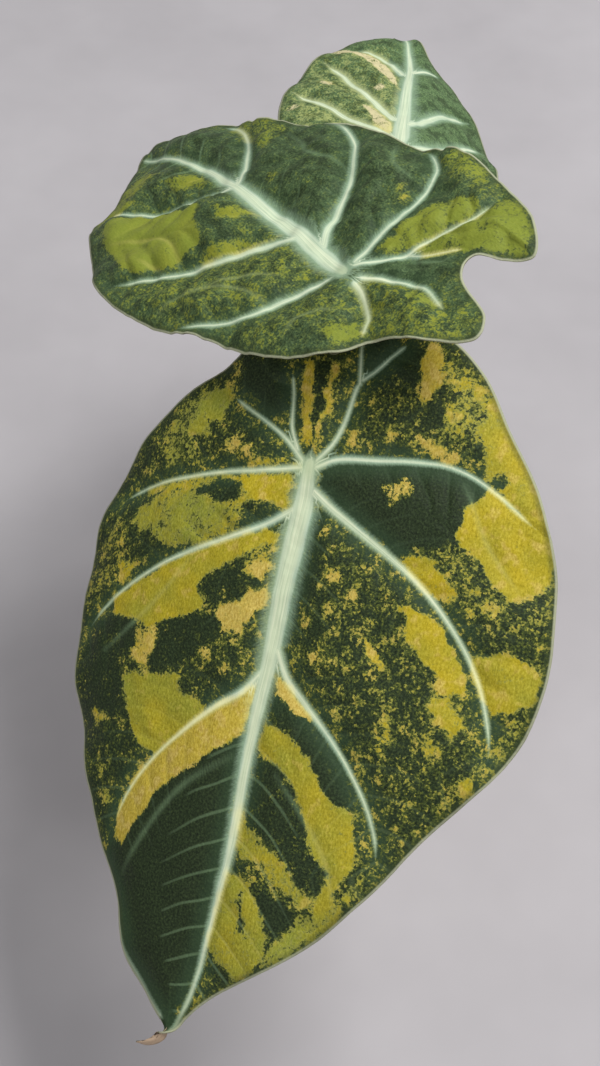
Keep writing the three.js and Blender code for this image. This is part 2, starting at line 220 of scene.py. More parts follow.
        (-3.5, 0, [(84.5, 7), (86, 12), (90, 13.5), (92, 11), (89, 8), (86, 6.5)]),
        (-1.8, 0, [(94, 12.5, 2)]),
        (-2, 0, [(86, 3), (88, 1.5), (92, 5), (94, 6), (93, 3.5)]),
        (-1.6, 0, [(99, -3), (101, 1), (103, 4), (106, 1), (109, -3), (106, -4.5)]),
        (1.5, 0.6, [(78, 26), (84, 24), (90, 20), (96, 14), (100, 9), (94, 11), (88, 15), (86, 20)]),
        (2.6, -0.3, [(-4, -2.4), (-22, -5.6), (-22, -2.8), (-4, 0.2)]),
        (2.2, -0.3, [(-4, 0.3), (-22, 0.8), (-22, 2.6), (-4, 1.5)]),
        (-2, 0, [(-6, -0.2), (-22, -1.5), (-22, -0.4), (-6, 0.2)]),
    ],
}

MIDDLE = {
    "junction": (5, -11.2, 169.9), "heading": 124.4, "slope": 10.4, "roll": 18.6,
    "dome": 0.0012, "bow": 0, "fold": 0, "droop": 0.006, "droop_from": 30, "droop_way": (0, 0.643, -0.766),
    "stalk_angle": 10, "reach": 32, "middle": (18, -3), "cells": 180,
    "base": -1.1, "youth_and_sheen": 0.45, "relief": 0.5, "swell": 2.1, "vein_share": 0.8,
    "outline": [
        (-22, -18), (-24, -13.5), (-36, -9), (-38.5, -4.5), (-31, 2.5), (-20, 8), (-17, 15), (-6, 23.5),
        (11, 29),
        (24, 33.5), (38, 36.5), (54, 35.5), (66, 29.5), (74.5, 23), (75, 17), (81, 8), (85, 1), (83, -7),
        (75, -16), (60, -22), (47, -28.5), (36, -32), (18, -35), (2, -39), (-10, -36.5), (-24, -32.5),
        (-31, -26), (-27, -22),
    ],
    "midrib": ((2.2, 4.2, 4.1, 3.8, 3.5, 3.3, 3, 2.5, 2, 1.6, 1.2, 0.9, 0.6), [
        (0, -0.5), (10, -1.3), (20, -2), (30, -2.3), (40, -2.7), (50, -3.3), (60, -3.4), (65, -2.6),
        (70, -1.9), (78, 0.3), (83, 2)]),
    "veins": [
        ((1.8, 1.2, 0.6), [(0, -4), (1.3, -10), (2.5, -20), (4.5, -27), (7, -32), (12, -34.5),
                           (16, -34.7)]),
        ((2.2, 1.4, 0.6), [(11, -2.5), (15, -8), (18, -14), (22, -20), (27, -25), (33, -28.3), (40, -30),
                           (46, -29), (50, -26.5)]),
        ((2, 1.1, 0.5), [(46.5, -4), (50, -8.5), (54, -12.5), (58, -15), (62, -16.5), (68, -17),
                         (73, -16)]),
        ((1.8, 1, 0.5), [(-1, -3), (-5, -8), (-7.5, -11.5), (-9, -17), (-11, -22), (-12.8, -27),
                         (-12.8, -33)]),
        ((0.8, 0.4), [(-7.5, -11.5), (-12, -14), (-19, -19)]),
        ((2, 1.2, 0.6), [(1.5, 3), (3.5, 8), (5.5, 13), (7, 18), (9.5, 22), (13, 25.5), (17, 28.5),
                         (22, 32)]),
        ((2.2, 1.3, 0.6), [(18, 0), (21.5, 4), (25, 9), (28, 13.5), (32, 18), (36, 22.5), (40, 26),
                           (45, 31), (49, 34)]),
        ((2, 1.1, 0.5), [(46, -1.5), (50, 3), (54, 7), (58, 10.5), (62, 14), (66, 17), (70, 19.5),
                         (75, 22)]),
        ((1.8, 1.1, 0.5), [(-5, 0.3), (-8, 1), (-12, 3), (-15, 5), (-16.5, 7), (-18, 9.5)]),
        ((1.8, 1, 0.5), [(-5, -1.5), (-9, -3.5), (-13, -5), (-17, -6.3), (-21, -6.8), (-25, -6),
                         (-29, -5)]),
    ],
    "creases": [
        (0.7, [(49.9, -21.8), (44.2, -21.4), (39.8, -19.6), (35.5, -19.6), (29.6, -20.7), (24, -20.5)]),
        (0.6, [(21.3, -32.4), (18.4, -29.2), (13.6, -26.7), (8.7, -26.8)]),
        (0.4, [(28.5, 31.2), (27.3, 26.5), (22.5, 20.6), (17.3, 17.1), (10.8, 15.5), (5.7, 14.8)]),
        (0.4, [(24.2, 22.1), (20, 16), (15.8, 11.9), (10.5, 8.7)]),
        (0.5, [(-4.6, 18.1), (-3.3, 14.1), (-4.9, 10.6), (-7.9, 7.8)]),
        (0.5, [(59.1, 26.3), (54, 21.8), (47.8, 18.2), (42.3, 17.7), (38.6, 18.8), (35.7, 20.7)]),
        (0.4, [(46, 25.2), (40.9, 23.8), (38.2, 23.7)]),
        (0.5, [(-8.7, -11.1), (-13.1, -11.8), (-16.3, -13.3), (-18.5, -15.7)]),
    ],
    "patches": [
        (-1.9, 0, [(-3, -3), (-14, -18), (-10, -30), (6, -38), (40, -31), (62, -21), (84, -5), (60, -4),
                   (20, -2.5)]),
        (2, 0.9, [(-30, -24), (-27, -30), (-20, -33.5), (-14, -34), (-13, -28), (-11, -21), (-8, -13),
                  (-12, -13), (-18, -17), (-24, -21.5)]),
        (2, 0.9, [(-12, -29), (-11, -24), (-8, -15), (-4, -9), (-1.5, -9), (-1, -16), (-2, -23), (-5, -27),
                  (-9, -30)]),
        (-0.3, 0.7, [(-15, -31), (5, -30), (5, -38.5), (-10, -36)]),
        (0.8, 0.7, [(-5, -34), (8, -34), (6, -38), (-4, -38)]),
        (-3, 0, [(-3, -3), (-20, -8), (-20, -16), (-10, -12)]),
        (0, 0.8, [(-36, -8), (-6, -2), (-6, 2), (-18, 8), (-36, -1)]),
        (1, 0.9, [(-26, -6), (-18, -6), (-18, -3), (-26, -3)]),
        (-0.4, 0.6, [(-14, 6), (0, 4), (4, 14), (8, 26), (-8, 22)]),
        (1.6, 0.9, [(-18, 8), (-16, 14), (-11, 13), (-10, 9), (-14, 7)]),
        (-1.6, 0, [(-14, 14), (-6, 14), (-6, 22), (-12, 20)]),
        (-0.3, 0.6, [(4, 2), (18, 2), (34, 22), (46, 33), (22, 31), (10, 20)]),
        (1, 0.5, [(10, 6), (14, 6), (14, 9), (11, 9)]),
        (1.2, -0.4, [(6, -22, 1.2)]),
        (1, -0.4, [(8.5, -23.5, 0.9)]),
        (1.2, 0.5, [(39, -9, 1)]),
        (0.2, 0.7, [(50, -15), (68, -15), (66, -20), (52, -23)]),
        (-2, 0, [(50, -6), (56, -11), (70, -15), (80, -6), (60, -4)]),
        (3, 0.75, [(37, 12), (40, 10.5), (44, 9.5), (45, 7), (49, 7), (52, 10), (56, 12), (61, 15),
                   (65, 18), (67, 22),
                   (65, 25), (60, 27), (52, 29), (45, 28), (41, 24.5), (37, 21), (38, 17), (36, 14)]),
        (1.6, 0, [(22, 1), (25, 5), (29, 8), (32, 12), (34, 16), (31, 17), (27, 11), (24, 7)]),
        (1.6, 0.2, [(32, 0), (34, 4), (37, 7), (39, 5), (36, 1)]),
        (-1.5, 0, [(36, 8), (44, 7), (43, 10), (37, 12)]),
        (-1.6, 0, [(48, 30), (66, 27), (60, 33), (48, 34.5)]),
        (1.8, 0.6, [(55, 0), (58, 4), (62, 7), (65, 5), (62, 0), (57, -1)]),
        (-1.5, 0, [(62, 8), (66, 8), (66, 11), (62, 11)]),
        (1.4, 0.7, [(70, 4), (77, 4), (76, 14), (70, 14)]),
        (1.6, 0.8, [(68, 14), (75, 14), (75, 24), (68, 24)]),
        (-1.5, 0, [(66, 17), (68, 17), (68, 27), (66, 27)]),
        (-1.5, 0, [(70, -1), (78, 3), (76, 6), (68, 3)]),
    ],
}

BACK = {
    "junction": (20.5, 54.9, 153.5), "heading": 84.8, "slope": 10, "roll": -2,
    "dome": 0.003, "bow": 0, "fold": 0.54, "droop": 0.035, "droop_from": 63, "droop_way": (0, 0, -1),
    "stalk_angle": 130, "reach": 30, "middle": (22, 2), "cells": 150,
    "base": -1.4, "youth_and_sheen": 1, "relief": 0.25, "swell": 1, "vein_share": 1.05,
    "outline": [
        (-12, 1), (-17, -5), (-17, -12), (-8, -20.5), (6, -25.5), (20, -25.5), (36, -20), (50, -13),
        (60, -6.5),
        (70, -1.5), (78, 4), (71, 9), (62.5, 17), (52, 24), (40, 29), (26, 31.5), (10, 30.5), (-6, 27),
        (-15, 19), (-18, 9), (-15, 4),
    ],
    "midrib": ((2.4, 4.6, 4.3, 3.9, 3.4, 3, 2.6, 2.2, 1.8, 1.4, 1, 0.7, 0.5), [
        (0, 0), (20, -0.5), (36, -0.8), (47, -1.2), (58, -0.5), (66, 0.5), (75, 3.4)]),
    "veins": [
        ((1.7, 1.3, 0.8), [(44, 0.8), (49.5, 3.5), (53.2, 6.2), (55.2, 9), (58, 14)]),
        ((2.2, 1.6, 1), [(16.5, 2), (25.5, 6.8), (34.5, 12.5), (43.2, 17.2), (49.5, 22.2)]),
        ((2.2, 1.6, 1), [(5, 1.5), (10.8, 6.8), (15, 13), (21, 18.5), (26.8, 24.8), (31.5, 29)]),
        ((1.6, 1, 0.5), [(-1, 2), (-3, 8), (-5, 14), (-7, 20), (-8, 25)]),
        ((1.4, 0.6), [(-4, 1), (-9, 4), (-13, 9), (-14, 14)]),
        ((1.7, 1.3, 0.8), [(45, -2.4), (48.8, -5.5), (51.5, -9.2)]),
        ((2.2, 1.7, 1.1), [(13.5, -2), (18.2, -5), (23.8, -8), (29.2, -12.5), (34, -17.5)]),
        ((2.2, 1.7, 1.1), [(0.8, -2.5), (5.8, -8.2), (15.5, -15), (24, -21.5)]),
        ((1.6, 1, 0.5), [(-1, -2), (-3, -8), (-5, -14), (-7, -19)]),
        ((1.4, 0.6), [(-4, -1), (-9, -4), (-14, -9)]),
    ],
    "creases": [
        (0.4, [(30, 14), (37, 20), (46, 25)]),
        (0.4, [(2, 14), (7, 20), (12, 28)]),
    ],
    "patches": [
        (0.1, 0.5, [(-16, 3), (40, 2), (58, 6), (56, 22), (26, 32), (-10, 28)]),
        (-3.2, 0, [(-16, -3), (70, -2), (60, -10), (30, -26), (-10, -24)]),
        (2.8, -1.6, [(34, 1.5), (42.5, 3), (48.5, 5), (54, 9), (57, 14), (58.5, 20), (55, 20.5), (53, 15),
                     (50, 11), (46, 8.5), (40, 6)]),
        (2.6, -1.6, [(4, 1.5), (11, 2), (18, 4.5), (24, 8.5), (23, 10.5), (16.5, 8), (10, 5.5), (5, 3.5)]),
        (2, -1.6, [(35.8, 20.2, 2)]),
        (1.8, -1.6, [(33.8, 6.8, 1.6)]),
        (1.4, -1.2, [(20.5, 27.5, 1.6)]),
        (1.2, 0.6, [(10, 15), (16, 18), (22, 26), (12, 26)]),
        (0.6, 0.6, [(26, 9), (32, 13), (40, 18), (32, 17)]),
        (1, 0.5, [(-10, 12), (-4, 14), (-6, 22), (-12, 20)]),
    ],
}

LEAVES = {"front": FRONT, "middle": MIDDLE, "back": BACK}

# The values below are in millimetres too, where they are lengths.
# The fold starts this far right of the midrib, and eases in over this radius.
FOLD_START = 1.5
FOLD_EASE = 3

# Main veins melt together over VEIN_BLEND where they meet. From VEIN_END of its length on, a vein other
# than the midrib thins by up to VEIN_THINS on each side. EDGE_SLACK is how far the blended distance from a
# vein's edge may part from the plain one.
VEIN_BLEND = 0.5
VEIN_END = 0.84
VEIN_THINS = 1.1
EDGE_SLACK = 0.35

# Side veins lie SIDE_SPACING apart and reach SIDE_REACH out. They lean towards the tip and bend to it
# further out. SIDE_SHARE is how clear they are beside a vein other than the midrib.
SIDE_SPACING = 6.2
SIDE_LEAN = 0.55
SIDE_BEND = 0.001
SIDE_REACH = 21
SIDE_SHARE = 0.35

# Outlines of patches wander by up to about PATCH_WANDER, in bends of PATCH_BEND.
PATCH_WANDER = 0.9
PATCH_BEND = 3.6

# Relief of a blade. Its skin rises over QUILT_REACH from a vein, and is flatter within MARGIN_REACH of the
# edge. CREASE_LINE and CREASE_WIDTH are the widths of a crease's line and of its hollow, and CREASE_END is
# the part of its length where it fades in. The edge waves in two lengths, which die out over WAVE_REACH,
# and rolls down.
QUILT_REACH = 4.5
MARGIN_REACH = 9
BULGE_SIZE = 16
CELL_SIZE = 4
CELL_RISE = 0.18
VEIN_SINKS = 0.12
CREASE_LINE = 0.5
CREASE_WIDTH = 1.8
CREASE_END = 0.04
WAVE_LENGTHS = (4.6, 2.9)
WAVE_REACH = 5
EDGE_ROLL = 0.5


class LeafLook(bpy.types.PropertyGroup):
    """Thickness, relief and colours of the leaves"""

    thickness: bpy.props.FloatProperty(
        name="Blade thickness", description="Thickness of a blade between its veins",
        default=0.55 * MM, min=0.2 * MM, max=2 * MM, unit="LENGTH")
    rib: bpy.props.FloatProperty(
        name="Rib height", description="How far the midrib stands out below the blade",
        default=1.5 * MM, min=0, max=4 * MM, unit="LENGTH")
    quilting: bpy.props.FloatProperty(
        name="Quilting", description="How far the blade bulges up between its veins",
        default=1.3 * MM, min=0, max=4 * MM, unit="LENGTH")
    wave: bpy.props.FloatProperty(
        name="Margin wave", description="Height of the waves along the margin",
        default=0.8 * MM, min=0, max=4 * MM, unit="LENGTH")
    dark: bpy.props.FloatVectorProperty(
        name="Dark green", description="Colour of the blade where it is solid green",
        default=linear("#25311b"), size=3, min=0, max=1, subtype="COLOR")
    gold: bpy.props.FloatVectorProperty(
        name="Gold", description="Colour in the middle of a yellow patch",
        default=linear("#b29d1a"), size=3, min=0, max=1, subtype="COLOR")
    vein: bpy.props.FloatVectorProperty(
        name="Vein", description="Colour of the main veins",
        default=linear("#c8d6b6"), size=3, min=0, max=1, subtype="COLOR")


class PotLook(bpy.types.PropertyGroup):
    """Surface of the pot"""

    ring: bpy.props.FloatProperty(
        name="Throwing rings", description="Depth of the rings left by throwing on the wheel",
        default=0.22 * MM, min=0, max=1 * MM, unit="LENGTH")
    clay: bpy.props.FloatVectorProperty(
        name="Clay", description="Colour of the fired clay",
        default=linear("#cdc6b9"), size=3, min=0, max=1, subtype="COLOR")
    speckle: bpy.props.FloatVectorProperty(
        name="Speckle", description="Colour of the iron speckles in the clay",
        default=linear("#6f5844"), size=3, min=0, max=1, subtype="COLOR")


class MixLook(bpy.types.PropertyGroup):
    """Amount, size and colours of the loose filling"""

    crumbs: bpy.props.IntProperty(
        name="Crumbs", description="Number of loose crumbs on the potting mix",
        default=640, min=0, max=1500)
    crumb_size: bpy.props.FloatProperty(
        name="Crumb size", description="Radius of the smallest crumbs",
        default=0.7 * MM, min=0.3 * MM, max=2 * MM, unit="LENGTH")
    peat: bpy.props.FloatVectorProperty(
        name="Peat", description="Colour of the damp peat and coir",
        default=linear("#3a2a20"), size=3, min=0, max=1, subtype="COLOR")
    bark: bpy.props.FloatVectorProperty(
        name="Bark", description="Colour of the bark chips",
        default=linear("#7b5338"), size=3, min=0, max=1, subtype="COLOR")
    pumice: bpy.props.FloatVectorProperty(
        name="Pumice", description="Colour of the pumice grains",
        default=linear("#d5cfc4"), size=3, min=0, max=1, subtype="COLOR")


class StalkLook(bpy.types.PropertyGroup):
    """Thickness and colours of the leaf stalks"""

    foot: bpy.props.FloatProperty(
        name="Foot radius", description="Radius of a stalk at its foot",
        default=3.7 * MM, min=1 * MM, max=4.4 * MM, unit="LENGTH")
    head: bpy.props.FloatProperty(
        name="Head radius", description="Radius of a stalk just below its blade",
        default=2.1 * MM, min=1 * MM, max=3 * MM, unit="LENGTH")
    green: bpy.props.FloatVectorProperty(
        name="Green", description="Colour of the upper part of a stalk",
        default=linear("#9fae7d"), size=3, min=0, max=1, subtype="COLOR")
    flush: bpy.props.FloatVectorProperty(
        name="Flush", description="Colour that the foot of a stalk is flushed with",
        default=linear("#a5745f"), size=3, min=0, max=1, subtype="COLOR")


# Shared making of pieces


def active_piece(name):
    """Names the object that an operator has just added."""
    piece = bpy.context.active_object
    piece.name = name
    piece.data.name = name
    return piece


def read_points(piece):
    """The piece's points as rows of x, y and z, in metres."""
    points = np.empty(len(piece.data.vertices) * 3)
    piece.data.vertices.foreach_get("co", points)
    return points.reshape(-1, 3)


def write_points(piece, points):
    """Moves the piece's points to the given places, in metres."""
    piece.data.vertices.foreach_set("co", np.asarray(points, np.float32).ravel())
    piece.data.update()


def paint(piece, name, values):
    """Stores a vector for each of the piece's points, for its material to read."""
    layer = piece.data.attributes.new(name, "FLOAT_VECTOR", "POINT")
    layer.data.foreach_set("vector", np.asarray(values, np.float32).ravel())


def apply_modifiers(piece):
    """Applies the piece's modifiers in order."""
    bpy.ops.object.select_all(action="DESELECT")
    piece.select_set(True)
    bpy.context.view_layer.objects.active = piece
    for modifier in list(piece.modifiers):
        bpy.ops.object.modifier_apply(modifier=modifier.name)


def settle(piece, replaced, materials, smooth_angle=40):
    """Gives a finished piece its materials and shading, and ties it to the frame."""
    bpy.ops.object.select_all(action="DESELECT")
    piece.select_set(True)
    bpy.context.view_layer.objects.active = piece
    piece.data.materials.clear()
    for material in materials:
        piece.data.materials.append(material)
    bpy.ops.object.shade_smooth_by_angle(angle=math.radians(smooth_angle))
    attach(piece, "root")
    if replaced:
        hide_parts(*replaced)
    piece.select_set(False)


def smooth_step(low, high, value):
    """Rises smoothly from 0 at low to 1 at high, or falls where low is the larger."""
    t = np.clip((value - low) / (high - low), 0, 1)
    return t * t * (3 - 2 * t)


def smooth_curve(points, closed, steps):
    """Points on a centripetal Catmull-Rom curve, so that it passes through every given point."""
    at = np.array(points, float)
    if closed:
        start, end = at, np.roll(at, -1, 0)
        before, beyond = np.roll(at, 1, 0), np.roll(at, -2, 0)
    else:
        start, end = at[:-1], at[1:]
        before = np.vstack([2 * at[:1] - at[1:2], at[:-2]])
        beyond = np.vstack([at[2:], 2 * at[-1:] - at[-2:-1]])

    def root_gap(p, q):
        return np.maximum(np.linalg.norm(q - p, axis=1), 1e-6)[:, None] ** 0.5

    first, here, last = root_gap(before, start), root_gap(start, end), root_gap(end, beyond)
    leave = ((start - before) / first - (end - before) / (first + here) + (end - start) / here) * here
    arrive = ((end - start) / here - (beyond - start) / (here + last) + (beyond - end) / last) * here
    t = np.linspace(0, 1, steps, endpoint=False)[None, :, None]
    curve = ((2 * t**3 - 3 * t**2 + 1) * start[:, None] + (t**3 - 2 * t**2 + t) * leave[:, None]
             + (3 * t**2 - 2 * t**3) * end[:, None] + (t**3 - t**2) * arrive[:, None])
    curve = curve.reshape(-1, at.shape[1])
    return np.vstack([curve, curve[:1] if closed else at[-1:]])


def run_along(curve):
    """Length run along a curve at each of its points."""
    return np.concatenate([[0], np.cumsum(np.linalg.norm(np.diff(curve, axis=0), axis=1))])


def nearest(points, curve):
    """For each point: the distance to a curve, the length run along it, and the side, 1 to its left."""
    runs = run_along(curve)
    distance = np.full(len(points), np.inf)
    run, side = np.zeros(len(points)), np.ones(len(points))
    for i, step in enumerate(np.diff(curve, axis=0)):
        length = math.hypot(*step)
        if length < 1e-9:
            continue
        off = points - curve[i]
        t = np.clip(off @ step / length**2, 0, 1)
        away = off - t[:, None] * step
        found = np.hypot(away[:, 0], away[:, 1])
        closer = found < distance
        distance[closer] = found[closer]
        run[closer] = runs[i] + t[closer] * length
        side[closer] = np.sign(step[0] * away[closer, 1] - step[1] * away[closer, 0])
    return distance, run, side


def inside_depth(points, corners):
    """How far each point lies inside a closed outline, below 0 outside it."""
    if len(corners) == 1:
        a, b, radius = corners[0]
        return radius - np.hypot(points[:, 0] - a, points[:, 1] - b)
    ring = np.array(corners + corners[:1], float)
    distance = nearest(points, ring)[0]
    inside = np.zeros(len(points), bool)
    for (x0, y0), (x1, y1) in zip(ring[:-1], ring[1:]):
        spans = (y0 > points[:, 1]) != (y1 > points[:, 1])
        if y0 != y1:
            inside ^= spans & (points[:, 0] < x0 + (points[:, 1] - y0) * (x1 - x0) / (y1 - y0))
    return np.where(inside, distance, -distance)


def ripple(points, size, seed, octaves=3):
    """Smooth noise from about -1 to 1, at one value a point, with features of the given size."""
    moved = np.asarray(points) * (1 / size) + (0, 0, seed)
    return np.array([noise.fractal(Vector(p), 1.0, 2.0, octaves) for p in moved])


def eased(corners, radius, steps=5):
    """Rounds each inner corner of an open profile."""
    at = [Vector(corner) for corner in corners]
    points = [at[0]]
    for before, corner, after in zip(at, at[1:], at[2:]):
        reach = min(radius, (corner - before).length / 2.2, (after - corner).length / 2.2)
        start = corner + (before - corner).normalized() * reach
        end = corner + (after - corner).normalized() * reach
        shares = [i / steps for i in range(steps + 1)]
        points += [start.lerp(corner, t).lerp(corner.lerp(end, t), t) for t in shares]
    return [*points, at[-1]]


def stepped(profile, step):
    """Splits the long stretches of a profile into steps."""
    points = [Vector(profile[0])]
    for start, end in zip(profile, profile[1:]):
        start, end = Vector(start), Vector(end)
        count = max(1, round((end - start).length / step))
        points += [start.lerp(end, (i + 1) / count) for i in range(count)]
    return points


def turned(name, profile, sides):
    """Extrudes a filled circle ring by ring along a profile of (radius, height) in millimetres."""
    bpy.ops.object.select_all(action="DESELECT")
    radius, height = profile[0]
    bpy.ops.mesh.primitive_circle_add(
        vertices=sides, radius=radius * MM, fill_type="NGON", location=(0, 0, height * MM))
    piece = active_piece(name)
    bpy.ops.object.transform_apply(location=True, rotation=True, scale=True)
    bpy.ops.object.mode_set(mode="EDIT")
    bpy.ops.mesh.select_all(action="SELECT")
    for next_radius, next_height in profile[1:]:
        bpy.ops.mesh.extrude_region_move(
            TRANSFORM_OT_translate={"value": (0, 0, (next_height - height) * MM)})
        share = next_radius / radius
        bpy.ops.transform.resize(value=(share, share, 1), center_override=(0, 0, next_height * MM))
        radius, height = next_radius, next_height
    bpy.ops.mesh.select_all(action="SELECT")
    bpy.ops.mesh.normals_make_consistent(inside=False)
    bpy.ops.object.mode_set(mode="OBJECT")
    return piece


def cut_round(piece, place, radius, depth):
    """Bores an upright round hole. All sizes are in millimetres."""
    bpy.ops.object.select_all(action="DESELECT")
    bpy.ops.mesh.primitive_cylinder_add(
        vertices=48, radius=radius * MM, depth=depth * MM, location=[c * MM for c in place])
    cutter = active_piece("cutter")
    bore = piece.modifiers.new("bore", "BOOLEAN")
    bore.operation = "DIFFERENCE"
    bore.object = cutter
    apply_modifiers(piece)
    bpy.data.objects.remove(cutter)


def node_place(name):
    """Middle, half sizes and turn about Z of a CAD node, from its points, in millimetres."""
    points = read_points(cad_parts[name]) / MM
    low, high = points.min(0), points.max(0)
    middle = (low + high) / 2
    flat = (points - middle)[:, :2]
    turn = math.atan2(*np.linalg.eigh(flat.T @ flat)[1][::-1, 1])
    along = flat @ (math.cos(turn), math.sin(turn))
    across = flat @ (-math.sin(turn), math.cos(turn))
    return middle, np.array([np.ptp(along) / 2, np.ptp(across) / 2, (high - low)[2] / 2]), turn


def spin_about_z(points, turn):
    """Turns points about the Z axis."""
    cos, sin = math.cos(turn), math.sin(turn)
    return points @ np.array([[cos, sin, 0], [-sin, cos, 0], [0, 0, 1]])


# Materials
#
# A pattern's scale is how many of its features lie in a metre on Object places, and in a millimetre on the
# places that leaves, stalks, sheaths and chips carry. Sockets that share a name go by number: 0 to 2 are a
# Math node's values, 0 is what a MapRange maps, 1 and 2 are its range and 3 and 4 what that becomes, and in
# a Mix of colours 0 is the share of the second, and 6 and 7 are the two.


def add(tree, kind, sockets=None, out=0, stops=(), **settings):
    """Adds a node, sets or links its sockets, and returns one output, or the node where out is None."""
    made = tree.nodes.new("ShaderNode" + kind)
    for name, value in settings.items():
        setattr(made, name, value)
    for key, value in (sockets or {}).items():
        if isinstance(value, bpy.types.NodeSocket):
            tree.links.new(value, made.inputs[key])
        else:
            made.inputs[key].default_value = value
    for i, (position, colour) in enumerate(stops):
        ramp = made.color_ramp
        stop = ramp.elements[i] if i < 2 else ramp.elements.new(position)
        stop.position = position
        stop.color = (*linear(colour), 1) if isinstance(colour, str) else (*colour, 1)
    return made if out is None else made.outputs[out]


def finish_material(name, build):
    """A material whose surface is the one shader that build returns."""
    material = bpy.data.materials.new(name)
    material.use_nodes = True
    tree = material.node_tree
    tree.nodes.clear()
    shader = build(tree)
    add(tree, "OutputMaterial", {"Surface": shader}, out=None)
    return material


def colour(hex_colour):
    """A hex colour as a shader's colour socket takes it."""
    return (*linear(hex_colour), 1)


def leaf_face(tree):
    """Upper face of a blade: a dull velvet skin of tiny domed cells, dark green with yellow sectors."""
    look = bpy.context.scene.alocasia_leaf
    place = add(tree, "Attribute", attribute_name="leaf_place", out="Vector")
    vein = add(tree, "Attribute", attribute_name="leaf_vein", out="Vector")
    patch = add(tree, "Attribute", attribute_name="leaf_patch", out="Vector")
    size = add(tree, "Attribute", attribute_name="leaf_size", out="Vector")
    a, b, margin = add(tree, "SeparateXYZ", {0: place}, out=None).outputs
    joined, cross, slant = add(tree, "SeparateXYZ", {0: vein}, out=None).outputs
    level, tone, crease = add(tree, "SeparateXYZ", {0: patch}, out=None).outputs
    width, youth_and_sheen, strength = add(tree, "SeparateXYZ", {0: size}, out=None).outputs
    flat = add(tree, "CombineXYZ", {0: a, 1: b})

    # Between the mesh's points the place across a vein stays even, where the distance from it doesn't.
    off_centre = add(tree, "Math", {0: cross}, operation="ABSOLUTE")
    off_edge = add(tree, "Math", {0: width, 1: -0.5, 2: off_centre}, operation="MULTIPLY_ADD")
    at_least = add(tree, "Math", {0: joined, 1: EDGE_SLACK}, operation="SUBTRACT")
    beyond = add(tree, "Math", {0: off_edge, 1: at_least}, operation="MAXIMUM")

    # Variegation breaks up into clumps of about 3 mm, then into the cells of the net of finest veins, about
    # 0.8 mm wide and each all yellow or all green, and then into grains of half a millimetre.
    coarse = add(tree, "TexNoise", {"Vector": flat, "Scale": 0.3, "Detail": 2, "Roughness": 0.6})
    fine = add(tree, "TexNoise", {"Vector": flat, "Scale": 2.0, "Detail": 2, "Roughness": 0.6})
    jitter = add(tree, "TexNoise", {"Vector": flat, "Scale": 1.6, "Detail": 3}, out="Color")
    jittered = add(tree, "VectorMath", {0: jitter, 1: (1.3, 1.3, 0), 2: flat}, operation="MULTIPLY_ADD")
    net = add(tree, "TexVoronoi", {"Vector": jittered, "Scale": 1.3, "Randomness": 1.0}, out="Color")
    net = add(tree, "SeparateXYZ", {0: net}, out=0)
    grain = add(tree, "Math", {0: coarse, 1: 5.6, 2: -7.1}, operation="MULTIPLY_ADD")
    grain = add(tree, "Math", {0: fine, 1: 6.0, 2: grain}, operation="MULTIPLY_ADD")
    grain = add(tree, "Math", {0: net, 1: 2.2, 2: grain}, operation="MULTIPLY_ADD")
    ragged = add(tree, "Math", {0: level, 1: grain}, operation="ADD")

    # Fibres about 0.4 mm wide lie mostly along the blade. The real ones are finer and wouldn't show.
    combed = add(tree, "VectorMath", {0: flat, 1: (0.8, 1.6, 1)}, operation="MULTIPLY")
    threads = add(tree, "TexNoise", {"Vector": combed, "Scale": 1.5, "Detail": 4, "Roughness": 0.75})
    yellow = add(tree, "ValToRGB", {0: threads}, stops=[
        (0.3, "#8f7f14"), (0.5, look.gold), (0.7, "#c9b638")])
    olive = add(tree, "ValToRGB", {0: threads}, stops=[
        (0.3, "#656c20"), (0.5, "#888d30"), (0.7, "#a8a84a")])
    peach = add(tree, "ValToRGB", {0: threads}, stops=[(0.36, "#a88c36"), (0.62, "#d3bd63")])
    cream = add(tree, "MapRange", {0: youth_and_sheen, 1: 0.6, 2: 0.9})
    peach = add(tree, "Mix", {0: cream, 6: peach, 7: colour("#cfc598")}, data_type="RGBA", out=2)
    drift = add(tree, "TexNoise", {"Vector": flat, "Scale": 0.11, "Detail": 2})
    olive_share = add(tree, "Math", {0: drift, 1: 1.6, 2: tone}, operation="MULTIPLY_ADD")
    olive_share = add(tree, "MapRange", {0: olive_share, 1: 0.65, 2: 1.7})
    most = add(tree, "MapRange", {0: youth_and_sheen, 1: 0.0, 2: 0.4, 3: -0.8, 4: 0.0})
    peach_share = add(tree, "MapRange", {0: coarse, 1: 0.5, 2: 0.66, 3: 0.0, 4: most})
    peach_share = add(tree, "Math", {0: tone, 1: peach_share}, operation="ADD")
    peach_share = add(tree, "MapRange", {0: peach_share, 1: -0.1, 2: -1.0})
    patches = add(tree, "Mix", {0: olive_share, 6: yellow, 7: olive}, data_type="RGBA", out=2)
    rimmed = add(tree, "MapRange", {0: ragged, 1: 1.6, 2: 0.2, 3: 0.0, 4: 0.8})
    patches = add(tree, "Mix", {0: rimmed, 6: patches, 7: colour("#94934a")}, data_type="RGBA", out=2)
    # Yellow turns lime-green and paler on a younger leaf, partly as its own colour and partly as painted
    # sheen.
    lime = add(tree, "MapRange", {0: youth_and_sheen, 1: 0.0, 2: 0.5, 3: 0.0, 4: 0.85})
    lime_colour = add(tree, "Mix", {0: cream, 6: colour("#7b8832"), 7: colour("#9fab6e")},
                      data_type="RGBA", out=2)
    patches = add(tree, "Mix", {0: lime, 6: patches, 7: lime_colour}, data_type="RGBA", out=2)
    patches = add(tree, "Mix", {0: peach_share, 6: patches, 7: peach}, data_type="RGBA", out=2)
